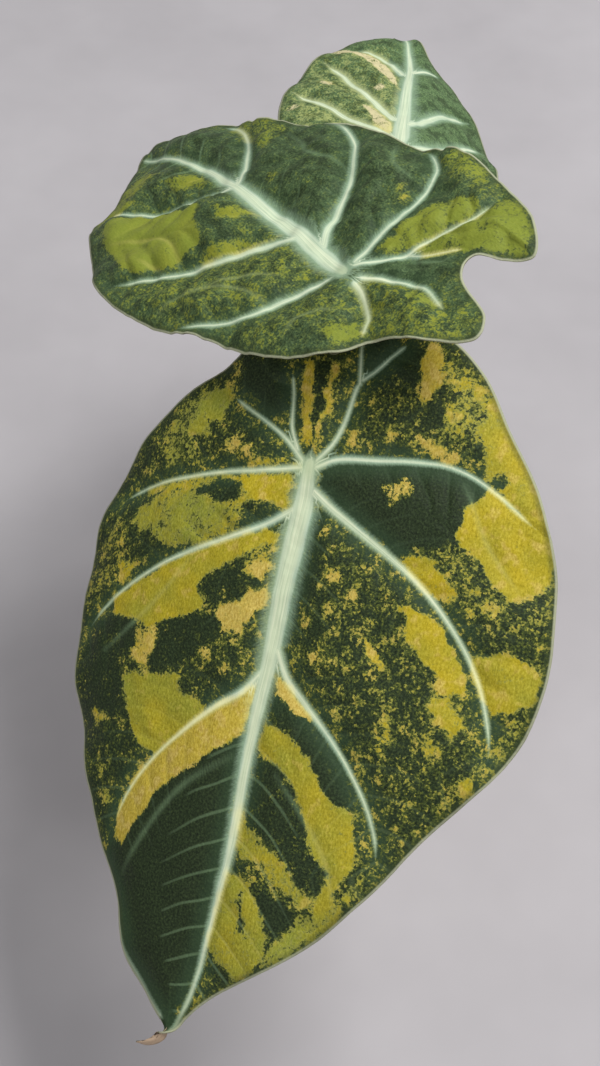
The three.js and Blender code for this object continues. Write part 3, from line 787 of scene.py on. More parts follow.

    # The green is deepest in the middle of a field and lighter beside a vein, which is painted sheen where
    # the velvet catches the light. It is paler on a younger leaf, in clouds of about 3 mm, partly as a young
    # leaf's own colour and partly as painted sheen and painted shading of the relief of a leaf seen at a
    # grazing angle.
    # Painted sheen: lighter green beside a vein.
    vein_sheen = add(tree, "MapRange", {0: beyond, 1: 0.0, 2: 5.0, 3: 0.7, 4: 0.0},
               interpolation_type="SMOOTHSTEP")
    cells = add(tree, "TexNoise", {"Vector": flat, "Scale": 2.0, "Detail": 4, "Roughness": 0.75})
    green = add(tree, "ValToRGB", {0: cells}, stops=[
        (0.34, "#121b0e"), (0.5, look.dark), (0.68, "#3c4b2b")])
    green = add(tree, "Mix", {0: vein_sheen, 6: green, 7: colour("#354b32")}, data_type="RGBA", out=2)
    edge_green = add(tree, "MapRange", {0: ragged, 1: -1.3, 2: 0.1, 3: 0.0, 4: 0.9})
    green = add(tree, "Mix", {0: edge_green, 6: green, 7: colour("#566024")}, data_type="RGBA", out=2)
    # A paler green for a younger leaf, partly its own colour and partly painted sheen and painted shading.
    young_and_sheen_green = add(tree, "ValToRGB", {0: cells}, stops=[
        (0.34, "#354b2c"), (0.5, "#58714a"), (0.66, "#7f9864")])
    cloudy = add(tree, "MapRange", {0: coarse, 1: 0.38, 2: 0.6, 3: 0.35, 4: 1.2})
    pale = add(tree, "Math", {0: youth_and_sheen, 1: cloudy}, operation="MULTIPLY", use_clamp=True)
    green = add(tree, "Mix", {0: pale, 6: green, 7: young_and_sheen_green}, data_type="RGBA", out=2)
    blend = add(tree, "MapRange", {0: youth_and_sheen, 1: 0.0, 2: 1.0, 3: 0.35, 4: 2.0})
    is_yellow = add(tree, "MapRange", {0: ragged, 1: -0.2, 2: blend})
    skin = add(tree, "Mix", {0: is_yellow, 6: green, 7: patches}, data_type="RGBA", out=2)

    # Half-green flecks lie where yellow and green mingle.
    mingled = add(tree, "Math", {0: ragged}, operation="ABSOLUTE")
    mingled = add(tree, "MapRange", {0: mingled, 1: 2.4, 2: 0.0, 3: 0.0, 4: 0.5})
    flecks = add(tree, "TexNoise", {"Vector": flat, "Scale": 1.3, "Detail": 3, "Roughness": 0.7})
    flecks = add(tree, "MapRange", {0: flecks, 1: 0.5, 2: 0.58})
    flecks = add(tree, "Math", {0: flecks, 1: mingled}, operation="MULTIPLY")
    skin = add(tree, "Mix", {0: flecks, 6: skin, 7: colour("#626a2b")}, data_type="RGBA", out=2)

    # Side veins leave the main veins and bend towards the tip. They are clearest near the tip.
    sunny = add(tree, "MapRange", {0: level, 1: -1.2, 2: 1.5})
    turns = add(tree, "Math", {0: slant, 1: 2 * math.pi / SIDE_SPACING}, operation="MULTIPLY")
    wave = add(tree, "Math", {0: turns}, operation="SINE")
    line = add(tree, "MapRange", {0: wave, 1: 0.9, 2: 1.0})
    towards_tip = add(tree, "MapRange", {0: a, 1: 50.0, 2: 68.0, 3: 0.4, 4: 1.0})
    line = add(tree, "Math", {0: line, 1: strength}, operation="MULTIPLY")
    line = add(tree, "Math", {0: line, 1: towards_tip}, operation="MULTIPLY")
    # Creases add a pale line, partly a side vein along the fold and partly a painted highlight on it.
    line = add(tree, "Math", {0: crease, 1: 1.2, 2: line}, operation="MULTIPLY_ADD")
    line = add(tree, "Math", {0: line, 1: 0.36}, operation="MULTIPLY", use_clamp=True)
    thread_colour = add(tree, "Mix", {0: sunny, 6: colour("#7f9a72"), 7: colour("#b9b35f")},
                        data_type="RGBA", out=2)
    skin = add(tree, "Mix", {0: line, 6: skin, 7: thread_colour}, data_type="RGBA", out=2)

    # Main veins have a clear core, streaked along and silver at its sides, and a feathered edge of short
    # hairs. The hairs are drawn about 0.4 mm wide, because real ones wouldn't show.
    hair_place = add(tree, "CombineXYZ", {0: slant, 1: beyond})
    hair_place = add(tree, "VectorMath", {0: hair_place, 1: (2.0, 0.5, 1)}, operation="MULTIPLY")
    hairs = add(tree, "TexNoise", {"Vector": hair_place, "Scale": 1.3, "Detail": 4, "Roughness": 0.75})
    hub = add(tree, "VectorMath", {0: flat}, operation="LENGTH", out="Value")
    hub = add(tree, "MapRange", {0: hub, 1: 0.5, 2: 5.0, 3: 1.0, 4: 0.0}, interpolation_type="SMOOTHSTEP")
    broad = add(tree, "MapRange", {0: width, 1: 0.8, 2: 4.0, 3: 0.35, 4: 1.4})
    broad = add(tree, "Math", {0: youth_and_sheen, 1: 0.4, 2: broad}, operation="MULTIPLY_ADD")
    nearness = add(tree, "Math", {0: beyond, 1: broad}, operation="DIVIDE")
    reach = add(tree, "Math", {0: hairs, 1: -2.4, 2: nearness}, operation="MULTIPLY_ADD")
    reach = add(tree, "Math", {0: hub, 1: -0.8, 2: reach}, operation="MULTIPLY_ADD")
    halo = add(tree, "MapRange", {0: reach, 1: -1.8, 2: 0.6, 3: 0.9, 4: 0.0},
               interpolation_type="SMOOTHSTEP")
    halo_colour = add(tree, "Mix", {0: sunny, 6: colour("#93ad8f"), 7: colour("#cfcb80")},
                      data_type="RGBA", out=2)
    skin = add(tree, "Mix", {0: halo, 6: skin, 7: halo_colour}, data_type="RGBA", out=2)
    stripe_place = add(tree, "CombineXYZ", {0: cross, 1: slant})
    stripe_place = add(tree, "VectorMath", {0: stripe_place, 1: (2.6, 0.05, 1)}, operation="MULTIPLY")
    stripes = add(tree, "TexNoise", {"Vector": stripe_place, "Scale": 1.0, "Detail": 4, "Roughness": 0.6})
    core = add(tree, "ValToRGB", {0: stripes}, stops=[
        (0.3, "#a3b89c"), (0.48, look.vein), (0.66, "#dce4c5")])
    from_centre = add(tree, "Math", {0: off_centre, 1: width}, operation="DIVIDE")
    silver = add(tree, "MapRange", {0: from_centre, 1: 0.12, 2: 0.5, 3: 0.0, 4: 0.7})
    core = add(tree, "Mix", {0: silver, 6: core, 7: colour("#9bb5a0")}, data_type="RGBA", out=2)
    plain = add(tree, "Math", {0: hub, 1: 0.6}, operation="MULTIPLY")
    core = add(tree, "Mix", {0: plain, 6: core, 7: colour("#b3c69c")}, data_type="RGBA", out=2)
    creamy = add(tree, "MapRange", {0: youth_and_sheen, 1: 0.0, 2: 1.0, 3: 0.85, 4: 0.2})
    creamy = add(tree, "Math", {0: sunny, 1: creamy}, operation="MULTIPLY")
    core = add(tree, "Mix", {0: creamy, 6: core, 7: colour("#ebe7ab")}, data_type="RGBA", out=2)
    core_edge = add(tree, "Math", {0: hairs, 1: -0.45, 2: beyond}, operation="MULTIPLY_ADD")
    is_core = add(tree, "MapRange", {0: core_edge, 1: -0.75, 2: 0.0, 3: 1.0, 4: 0.0},
                  interpolation_type="SMOOTHSTEP")
    skin = add(tree, "Mix", {0: is_core, 6: skin, 7: core}, data_type="RGBA", out=2)

    # The rim is a pale, half-clear edge about 0.5 mm wide with a dark line inside it.
    inner_line = add(tree, "MapRange", {0: margin, 1: 1.7, 2: 0.8, 3: 0.0, 4: 0.5})
    skin = add(tree, "Mix", {0: inner_line, 6: skin, 7: colour("#3b4627")}, data_type="RGBA", out=2)
    is_rim = add(tree, "MapRange", {0: margin, 1: 0.55, 2: 0.25})
    skin = add(tree, "Mix", {0: is_rim, 6: skin, 7: colour("#a9ac8d")}, data_type="RGBA", out=2)

    # Cells of about 0.6 mm dome the skin, and threads and side veins crease it.
    domes = add(tree, "TexVoronoi", {"Vector": flat, "Scale": 1.7, "Randomness": 0.9}, out="Distance")
    height = add(tree, "Math", {0: domes, 1: -0.8, 2: threads}, operation="MULTIPLY_ADD")
    height = add(tree, "Math", {0: line, 1: -1.2, 2: height}, operation="MULTIPLY_ADD")
    calm = add(tree, "MapRange", {0: is_core, 3: 1.0, 4: 0.15})
    height = add(tree, "Math", {0: height, 1: calm}, operation="MULTIPLY")
    bump = add(tree, "Bump", {"Strength": 0.32, "Distance": 0.35 * MM, "Height": height})
    return add(tree, "BsdfPrincipled", {
        "Base Color": skin, "Roughness": 0.58, "Specular IOR Level": 0.15, "Sheen Weight": 0.02,
        "Sheen Roughness": 0.4, "Sheen Tint": colour("#cfd8c0"), "Normal": bump})


def leaf_underside(tree):
    """Underside of a blade: dull sage flushed with pinkish brown, paler ribs, and pores 0.5 mm apart."""
    place = add(tree, "Attribute", attribute_name="leaf_place", out="Vector")
    vein = add(tree, "Attribute", attribute_name="leaf_vein", out="Vector")
    patch = add(tree, "Attribute", attribute_name="leaf_patch", out="Vector")
    beyond = add(tree, "SeparateXYZ", {0: vein}, out=0)
    level = add(tree, "SeparateXYZ", {0: patch}, out=0)
    soft = add(tree, "TexNoise", {"Vector": place, "Scale": 0.5, "Detail": 4, "Roughness": 0.65})
    ragged = add(tree, "Math", {0: soft, 1: 6.0, 2: level}, operation="MULTIPLY_ADD")
    base = add(tree, "ValToRGB", {0: soft}, stops=[(0.3, "#6f7359"), (0.5, "#7d7a5f"), (0.72, "#8b7d66")])
    shown = add(tree, "MapRange", {0: ragged, 1: 2.0, 2: 5.0})
    skin = add(tree, "Mix", {0: shown, 6: base, 7: colour("#a39a6c")}, data_type="RGBA", out=2)
    flush = add(tree, "TexNoise", {"Vector": place, "Scale": 0.06, "Detail": 2})
    flush = add(tree, "MapRange", {0: flush, 1: 0.42, 2: 0.64, 3: 0.0, 4: 0.6})
    skin = add(tree, "Mix", {0: flush, 6: skin, 7: colour("#8a6a5a")}, data_type="RGBA", out=2)
    along = add(tree, "SeparateXYZ", {0: place}, out=0)
    tip = add(tree, "MapRange", {0: along, 1: 112.0, 2: 116.0})
    skin = add(tree, "Mix", {0: tip, 6: skin, 7: colour("#b39a80")}, data_type="RGBA", out=2)
    rib = add(tree, "MapRange", {0: beyond, 1: 1.6, 2: -0.2})
    skin = add(tree, "Mix", {0: rib, 6: skin, 7: colour("#aeb08a")}, data_type="RGBA", out=2)
    pores = add(tree, "TexVoronoi", {"Vector": place, "Scale": 2.2}, out="Distance")
    bump = add(tree, "Bump", {"Strength": 0.25, "Distance": 0.15 * MM, "Height": pores})
    return add(tree, "BsdfPrincipled", {
        "Base Color": skin, "Roughness": 0.55, "Specular IOR Level": 0.4, "Normal": bump})


def leaf_rim(tree):
    """Cut edge of a blade: pale, waxy and slightly brown."""
    place = add(tree, "TexCoord", out="Object")
    mottle = add(tree, "TexNoise", {"Vector": place, "Scale": 300.0, "Detail": 3})
    skin = add(tree, "ValToRGB", {0: mottle}, stops=[(0.35, "#716e54"), (0.6, "#96957b")])
    return add(tree, "BsdfPrincipled", {"Base Color": skin, "Roughness": 0.5})


def stoneware(tree):
    """Fired stoneware without glaze: matt and sandy, with iron speckles and a faint stain of hard water."""
    look = bpy.context.scene.alocasia_pot
    # Speckles lie in cells of 2.4 mm, one to some of them. Sand is drawn 0.5 mm coarse, so that it shows.
    place = add(tree, "TexCoord", out="Object")
    cloud = add(tree, "TexNoise", {"Vector": place, "Scale": 40.0, "Detail": 5, "Roughness": 0.6})
    shade = add(tree, "MapRange", {0: cloud, 1: 0.35, 2: 0.7, 3: 0.0, 4: 0.5})
    skin = add(tree, "Mix", {0: shade, 6: (*look.clay, 1), 7: colour("#b3a995")}, data_type="RGBA", out=2)
    grit = add(tree, "TexVoronoi", {"Vector": place, "Scale": 420.0, "Randomness": 1.0}, out=None)
    pick = add(tree, "SeparateXYZ", {0: grit.outputs["Color"]}, out=0)
    size = add(tree, "MapRange", {0: pick, 1: 0.55, 2: 1.0, 3: 0.0, 4: 0.34})
    inside = add(tree, "Math", {0: size, 1: grit.outputs["Distance"]}, operation="SUBTRACT")
    spot = add(tree, "MapRange", {0: inside, 1: 0.0, 2: 0.08, 3: 0.0, 4: 0.85})
    skin = add(tree, "Mix", {0: spot, 6: skin, 7: (*look.speckle, 1)}, data_type="RGBA", out=2)
    height = add(tree, "SeparateXYZ", {0: place}, out=2)
    tide = add(tree, "Math", {0: cloud, 1: 0.02, 2: height}, operation="MULTIPLY_ADD")
    stain = add(tree, "MapRange", {0: tide, 1: 0.022, 2: 0.008, 3: 0.0, 4: 0.45},
                interpolation_type="SMOOTHSTEP")
    skin = add(tree, "Mix", {0: stain, 6: skin, 7: colour("#9c8d77")}, data_type="RGBA", out=2)
    sand = add(tree, "TexNoise", {"Vector": place, "Scale": 2200.0, "Detail": 3, "Roughness": 0.7})
    rough = add(tree, "MapRange", {0: cloud, 1: 0.3, 2: 0.7, 3: 0.72, 4: 0.9})
    pits = add(tree, "Math", {0: spot, 1: -0.8, 2: sand}, operation="MULTIPLY_ADD")
    bump = add(tree, "Bump", {"Strength": 0.4, "Distance": 0.12 * MM, "Height": pits})
    return add(tree, "BsdfPrincipled", {
        "Base Color": skin, "Roughness": rough, "Specular IOR Level": 0.35, "Normal": bump})


def damp_peat(tree):
    """Damp peat and coir: almost black in the gaps and brown on the lumps, which are about 1.4 mm wide."""
    look = bpy.context.scene.alocasia_mix
    place = add(tree, "TexCoord", out="Object")
    lumps = add(tree, "TexNoise", {"Vector": place, "Scale": 700.0, "Detail": 5, "Roughness": 0.7})
    skin = add(tree, "ValToRGB", {0: lumps}, stops=[
        (0.36, "#1a120d"), (0.55, look.peat), (0.72, "#6a4f3b")])
    wet = add(tree, "MapRange", {0: lumps, 1: 0.35, 2: 0.6, 3: 0.55, 4: 0.92})
    bump = add(tree, "Bump", {"Strength": 0.7, "Distance": 0.5 * MM, "Height": lumps})
    return add(tree, "BsdfPrincipled", {"Base Color": skin, "Roughness": wet, "Normal": bump})


def loose_crumbs(tree):
    """Crumbs of peat, bark and perlite, each with its own tone and a grain of 0.7 mm."""
    look = bpy.context.scene.alocasia_mix
    crumb = add(tree, "Attribute", attribute_name="crumb", out="Vector")
    tone, kind, _ = add(tree, "SeparateXYZ", {0: crumb}, out=None).outputs
    place = add(tree, "TexCoord", out="Object")
    grain = add(tree, "TexNoise", {"Vector": place, "Scale": 1500.0, "Detail": 4, "Roughness": 0.7})
    mixed = add(tree, "Math", {0: tone, 1: grain}, operation="ADD")
    peat = add(tree, "ValToRGB", {0: mixed}, stops=[(0.5, "#20160f"), (0.8, look.peat), (1.0, "#76583f")])
    bark = add(tree, "ValToRGB", {0: mixed}, stops=[(0.45, "#4b2f20"), (0.8, look.bark), (1.0, "#a97c57")])
    white = add(tree, "ValToRGB", {0: mixed}, stops=[(0.45, "#a89f90"), (0.9, "#ddd8cd")])
    is_bark = add(tree, "Math", {0: kind, 1: 0.5}, operation="GREATER_THAN")
    is_white = add(tree, "Math", {0: kind, 1: 1.5}, operation="GREATER_THAN")
    skin = add(tree, "Mix", {0: is_bark, 6: peat, 7: bark}, data_type="RGBA", out=2)
    skin = add(tree, "Mix", {0: is_white, 6: skin, 7: white}, data_type="RGBA", out=2)
    bump = add(tree, "Bump", {"Strength": 0.6, "Distance": 0.25 * MM, "Height": grain})
    return add(tree, "BsdfPrincipled", {"Base Color": skin, "Roughness": 0.85, "Normal": bump})


def fir_bark(tree):
    """Fir bark chip: corky reddish-brown layers about 0.4 mm thick, with a greyer weathered top."""
    look = bpy.context.scene.alocasia_mix
    chip = add(tree, "Attribute", attribute_name="chip", out="Vector")
    stretched = add(tree, "VectorMath", {0: chip, 1: (0.35, 1.2, 1.5)}, operation="MULTIPLY")
    fibre = add(tree, "TexNoise", {"Vector": stretched, "Scale": 1.6, "Detail": 5, "Roughness": 0.7})
    skin = add(tree, "ValToRGB", {0: fibre}, stops=[(0.34, "#3f281b"), (0.52, look.bark), (0.7, "#ac8159")])
    up = add(tree, "NewGeometry", out="Normal")
    up = add(tree, "SeparateXYZ", {0: up}, out=2)
    grey = add(tree, "Math", {0: up, 1: fibre}, operation="MULTIPLY")
    grey = add(tree, "MapRange", {0: grey, 1: 0.3, 2: 0.65, 3: 0.0, 4: 0.55})
    skin = add(tree, "Mix", {0: grey, 6: skin, 7: colour("#8b7561")}, data_type="RGBA", out=2)
    bump = add(tree, "Bump", {"Strength": 0.8, "Distance": 0.4 * MM, "Height": fibre})
    return add(tree, "BsdfPrincipled", {
        "Base Color": skin, "Roughness": 0.88, "Specular IOR Level": 0.25, "Normal": bump})


def pumice_stone(tree):
    """Pumice: dry pale froth of rock with round pits about 0.7 mm wide, dusty brown inside."""
    look = bpy.context.scene.alocasia_mix
    place = add(tree, "TexCoord", out="Object")
    pits = add(tree, "TexVoronoi", {"Vector": place, "Scale": 1500.0}, out="Distance")
    fine = add(tree, "TexNoise", {"Vector": place, "Scale": 900.0, "Detail": 5, "Roughness": 0.7})
    depth = add(tree, "MapRange", {0: pits, 1: 0.08, 2: 0.45})
    hollow = add(tree, "Math", {0: depth, 1: fine}, operation="MULTIPLY")
    skin = add(tree, "MapRange", {0: hollow, 1: 0.1, 2: 0.4})
    skin = add(tree, "Mix", {0: skin, 6: colour("#8d7f6d"), 7: (*look.pumice, 1)}, data_type="RGBA", out=2)
    bump = add(tree, "Bump", {"Strength": 0.9, "Distance": 0.35 * MM, "Height": hollow})
    return add(tree, "BsdfPrincipled", {
        "Base Color": skin, "Roughness": 0.95, "Specular IOR Level": 0.2, "Normal": bump})


def corky_skin(tree):
    """Corky skin of the corm: brown, in rings about 1 mm high, with pale torn fibres of 0.8 mm."""
    # The ramp has two stops at 1, so that a torn fibre stands out with a clear edge.
    place = add(tree, "TexCoord", out="Object")
    squashed = add(tree, "VectorMath", {0: place, 1: (90, 90, 1100)}, operation="MULTIPLY")
    rings = add(tree, "TexNoise", {"Vector": squashed, "Scale": 1.0, "Detail": 4, "Roughness": 0.6})
    fibres = add(tree, "TexNoise", {"Vector": place, "Scale": 1300.0, "Detail": 4, "Roughness": 0.7})
    both = add(tree, "Math", {0: rings, 1: fibres}, operation="ADD")
    skin = add(tree, "ValToRGB", {0: both}, stops=[(0.75, "#43301f"), (1.0, "#7e6046"), (1.0, "#b39a74")])
    bump = add(tree, "Bump", {"Strength": 0.8, "Distance": 0.4 * MM, "Height": both})
    return add(tree, "BsdfPrincipled", {"Base Color": skin, "Roughness": 0.85, "Normal": bump})


def fleshy_stalk(tree):
    """Fleshy leaf stalk: smooth, slightly waxy, with fine lengthwise streaks and a pinkish foot."""
    look = bpy.context.scene.alocasia_stalk
    stalk = add(tree, "Attribute", attribute_name="stalk", out="Vector")
    share = add(tree, "SeparateXYZ", {0: stalk}, out=2)
    streaks = add(tree, "VectorMath", {0: stalk, 1: (2.2, 0.12, 0)}, operation="MULTIPLY")
    streaks = add(tree, "TexNoise", {"Vector": streaks, "Scale": 1.0, "Detail": 5, "Roughness": 0.65})
    flecks = add(tree, "VectorMath", {0: stalk, 1: (1.6, 0.5, 0)}, operation="MULTIPLY")
    flecks = add(tree, "TexNoise", {"Vector": flecks, "Scale": 1.0, "Detail": 4, "Roughness": 0.7})
    green = add(tree, "ValToRGB", {0: streaks}, stops=[
        (0.36, "#7f9062"), (0.5, look.green), (0.66, "#c3c99c")])
    rise = add(tree, "Math", {0: flecks, 1: 0.5, 2: share}, operation="MULTIPLY_ADD")
    low = add(tree, "MapRange", {0: rise, 1: 0.85, 2: 0.25, 3: 0.0, 4: 0.85},
              interpolation_type="SMOOTHSTEP")
    skin = add(tree, "Mix", {0: low, 6: green, 7: (*look.flush, 1)}, data_type="RGBA", out=2)
    dark = add(tree, "MapRange", {0: flecks, 1: 0.57, 2: 0.66, 3: 0.0, 4: 0.5})
    skin = add(tree, "Mix", {0: dark, 6: skin, 7: colour("#6f5648")}, data_type="RGBA", out=2)
    bump = add(tree, "Bump", {"Strength": 0.25, "Distance": 0.15 * MM, "Height": streaks})
    return add(tree, "BsdfPrincipled", {
        "Base Color": skin, "Roughness": 0.42, "Specular IOR Level": 0.45, "Normal": bump})


def papery_sheath(tree):
    """Dried leaf sheath: thin brown paper with parallel fibres about 0.4 mm apart and a paler torn edge."""
    sheath = add(tree, "Attribute", attribute_name="sheath", out="Vector")
    share = add(tree, "SeparateXYZ", {0: sheath}, out=2)
    combed = add(tree, "VectorMath", {0: sheath, 1: (2.6, 0.1, 0)}, operation="MULTIPLY")
    fibres = add(tree, "TexNoise", {"Vector": combed, "Scale": 1.0, "Detail": 5, "Roughness": 0.65})
    skin = add(tree, "ValToRGB", {0: fibres}, stops=[
        (0.35, "#6e4c33"), (0.5, "#a27d58"), (0.68, "#cfb48b")])
    dry = add(tree, "MapRange", {0: share, 1: 0.7, 2: 1.0, 3: 0.0, 4: 0.6})
    skin = add(tree, "Mix", {0: dry, 6: skin, 7: colour("#dcc9a3")}, data_type="RGBA", out=2)
    bump = add(tree, "Bump", {"Strength": 0.7, "Distance": 0.25 * MM, "Height": fibres})
    return add(tree, "BsdfPrincipled", {
        "Base Color": skin, "Roughness": 0.7, "Specular IOR Level": 0.35, "Normal": bump})


# Leaf blades


def leaf_axes(leaf):
    """Directions along a leaf, across it and out of its upper face."""
    heading, slope, roll = (math.radians(leaf[k]) for k in ("heading", "slope", "roll"))
    level = np.array([-math.sin(heading), math.cos(heading), 0])
    flat = np.array([math.cos(heading), math.sin(heading), 0])
    along = flat * math.cos(slope) - (0, 0, math.sin(slope))
    up = np.cross(along, level)
    normal = up * math.cos(roll) + level * math.sin(roll)
    across = level * math.cos(roll) - up * math.sin(roll)
    return along, across, normal


def leaf_points(leaf, a, b, lift):
    """Places flat leaf coordinates, with a height above the blade, in the frame. All are in millimetres."""
    along, across, normal = leaf_axes(leaf)
    if "drip" in leaf:
        a, b, lift = curl_drip_tip(leaf["drip"], a, b, lift)
    past = np.maximum(-b - FOLD_START, 0)
    folded = leaf["fold"] * (np.hypot(past, FOLD_EASE) - FOLD_EASE)
    sag = leaf["dome"] * b * b + leaf["bow"] * np.maximum(a, 0) ** 2 + folded
    droop = leaf["droop"] * np.maximum(a - leaf["droop_from"], 0) ** 2
    return (np.array(leaf["junction"]) + np.outer(a, along) + np.outer(b, across)
            + np.outer(lift - sag, normal) + np.outer(droop, leaf["droop_way"]))


def curl_drip_tip(drip, a, b, lift):
    """Curls the thread-like tip to the side and twists it over, so that its underside shows."""
    root_a, root_b = drip["root"]
    s = np.maximum(a - root_a, 0)
    turn = drip["curl"] * s
    twist = drip["twist"] * smooth_step(0.5, 5, s)
    offset = b - root_b
    flat, raised = offset * np.cos(twist), offset * np.sin(twist)
    centre_a = root_a + np.sin(turn) / drip["curl"]
    centre_b = root_b - (1 - np.cos(turn)) / drip["curl"]
    in_tip = a > root_a
    new_a = np.where(in_tip, centre_a + flat * np.sin(turn), a)
    new_b = np.where(in_tip, centre_b + flat * np.cos(turn), b)
    return new_a, new_b, lift + np.where(in_tip, raised, 0)


def plan_of_grid(leaf, u, v):
    """Turns the square rings of a grid into rings of the leaf's outline. Also returns that outline."""
    outline = smooth_curve(leaf["outline"], True, 24)[:-1]
    area = np.sum(outline[:, 0] * np.roll(outline[:, 1], -1) - outline[:, 1] * np.roll(outline[:, 0], -1))
    if area < 0:
        outline = outline[::-1]
    outline = np.roll(outline, -int(outline[:, 0].argmax()), 0)
    outline = np.vstack([outline, outline[:1]])
    ring = np.maximum(np.abs(u), np.abs(v))
    safe = np.maximum(ring, 1e-9)
    on_side = np.abs(u) >= np.abs(v)
    by_side = np.where(u > 0, v / safe, 4 - v / safe)
    by_end = np.where(v > 0, 2 - u / safe, 6 + u / safe)
    turn = np.where(on_side, by_side, by_end) % 8
    runs = run_along(outline)
    at = turn / 8 * runs[-1]
    edge = np.column_stack([np.interp(at, runs, outline[:, 0]), np.interp(at, runs, outline[:, 1])])
    middle = np.array(leaf["middle"])
    return middle + (edge - middle) * ring[:, None], outline


def vein_layout(leaf, plan):
    """Where each point lies by the main veins, as six values.

    They are the distance beyond the nearest vein's edge, with the veins melted together where they meet, the
    place across that vein and along it with the side veins' lean, its width, how clear side veins are at the
    point, and how clear that vein lets them be.
    """
    count = len(plan)
    beyond = np.full(count, np.inf)
    cross, run, width, branching = np.zeros((4, count))
    every = []
    veins = [leaf["midrib"], *leaf["veins"]]
    if "margin_band" in leaf:
        veins.append(leaf["margin_band"])
    for i, (widths, points) in enumerate(veins):
        widths = widths if i == 0 else np.multiply(widths, leaf["vein_share"])
        curve = smooth_curve(points, False, 6)
        distance, along, side = nearest(plan, curve)
        share = along / run_along(curve)[-1]
        half = np.interp(share, np.linspace(0, 1, len(widths)), widths) / 2
        if 0 < i <= len(leaf["veins"]):
            half -= VEIN_THINS * smooth_step(VEIN_END, 1, share)
        gap = distance - half
        every.append(gap)
        closer = gap < beyond
        branching[closer] = 1 if i == 0 else SIDE_SHARE if i <= len(leaf["veins"]) else 0
        # Each vein's run starts 31 mm on, so that no two have their side veins in step.
        for target, value in (
            (beyond, gap), (cross, distance * side), (run, along + 31 * i), (width, 2 * half),
        ):
            target[closer] = value[closer]
    melted = sum(np.exp(-(gap - beyond) / VEIN_BLEND) for gap in every)
    joined = beyond - VEIN_BLEND * np.log(melted)
    second = np.sort(every, axis=0)[1]
    away = np.maximum(joined, 0)
    wander = ripple(np.column_stack([plan, 0 * run]), 22, 4)
    slant = run - away * (SIDE_LEAN + SIDE_BEND * away**2) + 1.2 * wander
    strength = smooth_step(SIDE_REACH, 1, away) * smooth_step(0, 2.5, second - beyond) * (branching > 0)
    return joined, cross, slant, width, strength, branching


def variegation(leaf, plan):
    """How yellow each point is, in steps that the material's grain breaks up, and its tone."""
    level, tone = np.full(len(plan), float(leaf["base"])), np.full(len(plan), 0.2)
    flat = np.column_stack([plan, 0 * plan[:, 0]])
    bends = [ripple(flat, PATCH_BEND, seed, 4) for seed in (21, 33)]
    plan = plan + PATCH_WANDER * np.column_stack(bends)
    for strength, hue, corners in leaf["patches"]:
        soft = max(0.75, 1.45 - 0.2 * abs(strength))
        spot = 3 if len(corners) == 1 else 0
        low = np.min([c[:2] for c in corners], axis=0) - soft - spot
        high = np.max([c[:2] for c in corners], axis=0) + soft + spot
        close = np.flatnonzero(np.all((plan > low) & (plan < high), axis=1))
        depth = inside_depth(plan[close], corners)
        old = level[close]
        weight = smooth_step(-soft, soft, depth)
        same = old + (strength - old) * weight
        within, without = (smooth_step(-0.2, soft, way * depth) for way in (1, -1))
        crossing = np.where(depth > 0, strength * within, old * without)
        level[close] = np.where(old * strength > 0, same, crossing)
        if strength > 0:
            tone[close] += (hue - tone[close]) * weight
    return level, tone


def crease_marks(leaf, plan):
    """How clearly creases mark each point, and how deep they hollow it."""
    mark, hollow = np.zeros(len(plan)), np.zeros(len(plan))
    for depth, points in leaf["creases"]:
        curve = smooth_curve(points, False, 6)
        distance, along, _ = nearest(plan, curve)
        share = np.clip(along / run_along(curve)[-1], CREASE_END, 1 - CREASE_END)
        ease = np.sin(np.pi * share) ** 0.5
        mark = np.maximum(mark, ease * np.exp(-(distance / CREASE_LINE) ** 2))
        hollow += depth * ease * np.exp(-(distance / CREASE_WIDTH) ** 2)
    return mark, hollow


def blade_relief(leaf, look, plan, margin, margin_run, veins, hollow):
    """Height of each point of the upper skin over the flat blade, in millimetres."""
    beyond, _, slant, width, strength, _ = veins
    flat = np.column_stack([plan, 0 * margin])
    cells = leaf["cells"]
    away = np.maximum(beyond, 0)
    inland = smooth_step(0, MARGIN_REACH, margin)
    rise = (0.8 + 0.4 * leaf["swell"]) * look.quilting / MM
    lift = rise * (1 - np.exp(-((away / QUILT_REACH) ** 1.5))) * (0.35 + 0.65 * inland)
    lift -= VEIN_SINKS * np.exp(-away / 0.8) * np.clip(width, 0, 3) / 3
    pillow = 1 - (0.5 + 0.5 * np.sin(2 * math.pi * slant / SIDE_SPACING)) ** 3
    patchy = np.clip(0.8 + 1.6 * ripple(flat, 20, 6), 0, 1.5)
    lift += leaf["relief"] * pillow * strength * patchy * smooth_step(0, 2, away)
    lift -= hollow
    lift += leaf["swell"] * ripple(flat, BULGE_SIZE, 3 + cells) * inland
    lift += CELL_RISE * ripple(flat, CELL_SIZE, 9 + cells)
    long, short = WAVE_LENGTHS
    swing = np.sin(margin_run / long + 1) + 0.7 * np.sin(margin_run / short + 2.2)
    lift += look.wave / MM * swing * np.exp(-margin / WAVE_REACH)
    return lift - EDGE_ROLL * np.exp(-margin / 0.9)


def thicken_blade(piece, look, margin, away, width):
    """Gives the sheet its thickness, thin at the edge, with ribs below the main veins."""
    inland = smooth_step(0, 2, margin)
    thick = look.thickness / MM * (0.55 + 0.45 * smooth_step(0, 3, margin))
    thick += look.rib / MM * np.exp(-((away / 0.7) ** 2)) * np.clip(width / 4.5, 0, 1) * inland
    deepest = thick.max()
    group = piece.vertex_groups.new(name="thickness")
    for i, share in enumerate(thick / deepest):
        group.add([i], float(share), "REPLACE")
    solid = piece.modifiers.new("thickness", "SOLIDIFY")
    solid.thickness = deepest * MM
    solid.offset = -1
    solid.vertex_group = "thickness"
    solid.material_offset = 1
    solid.material_offset_rim = 2


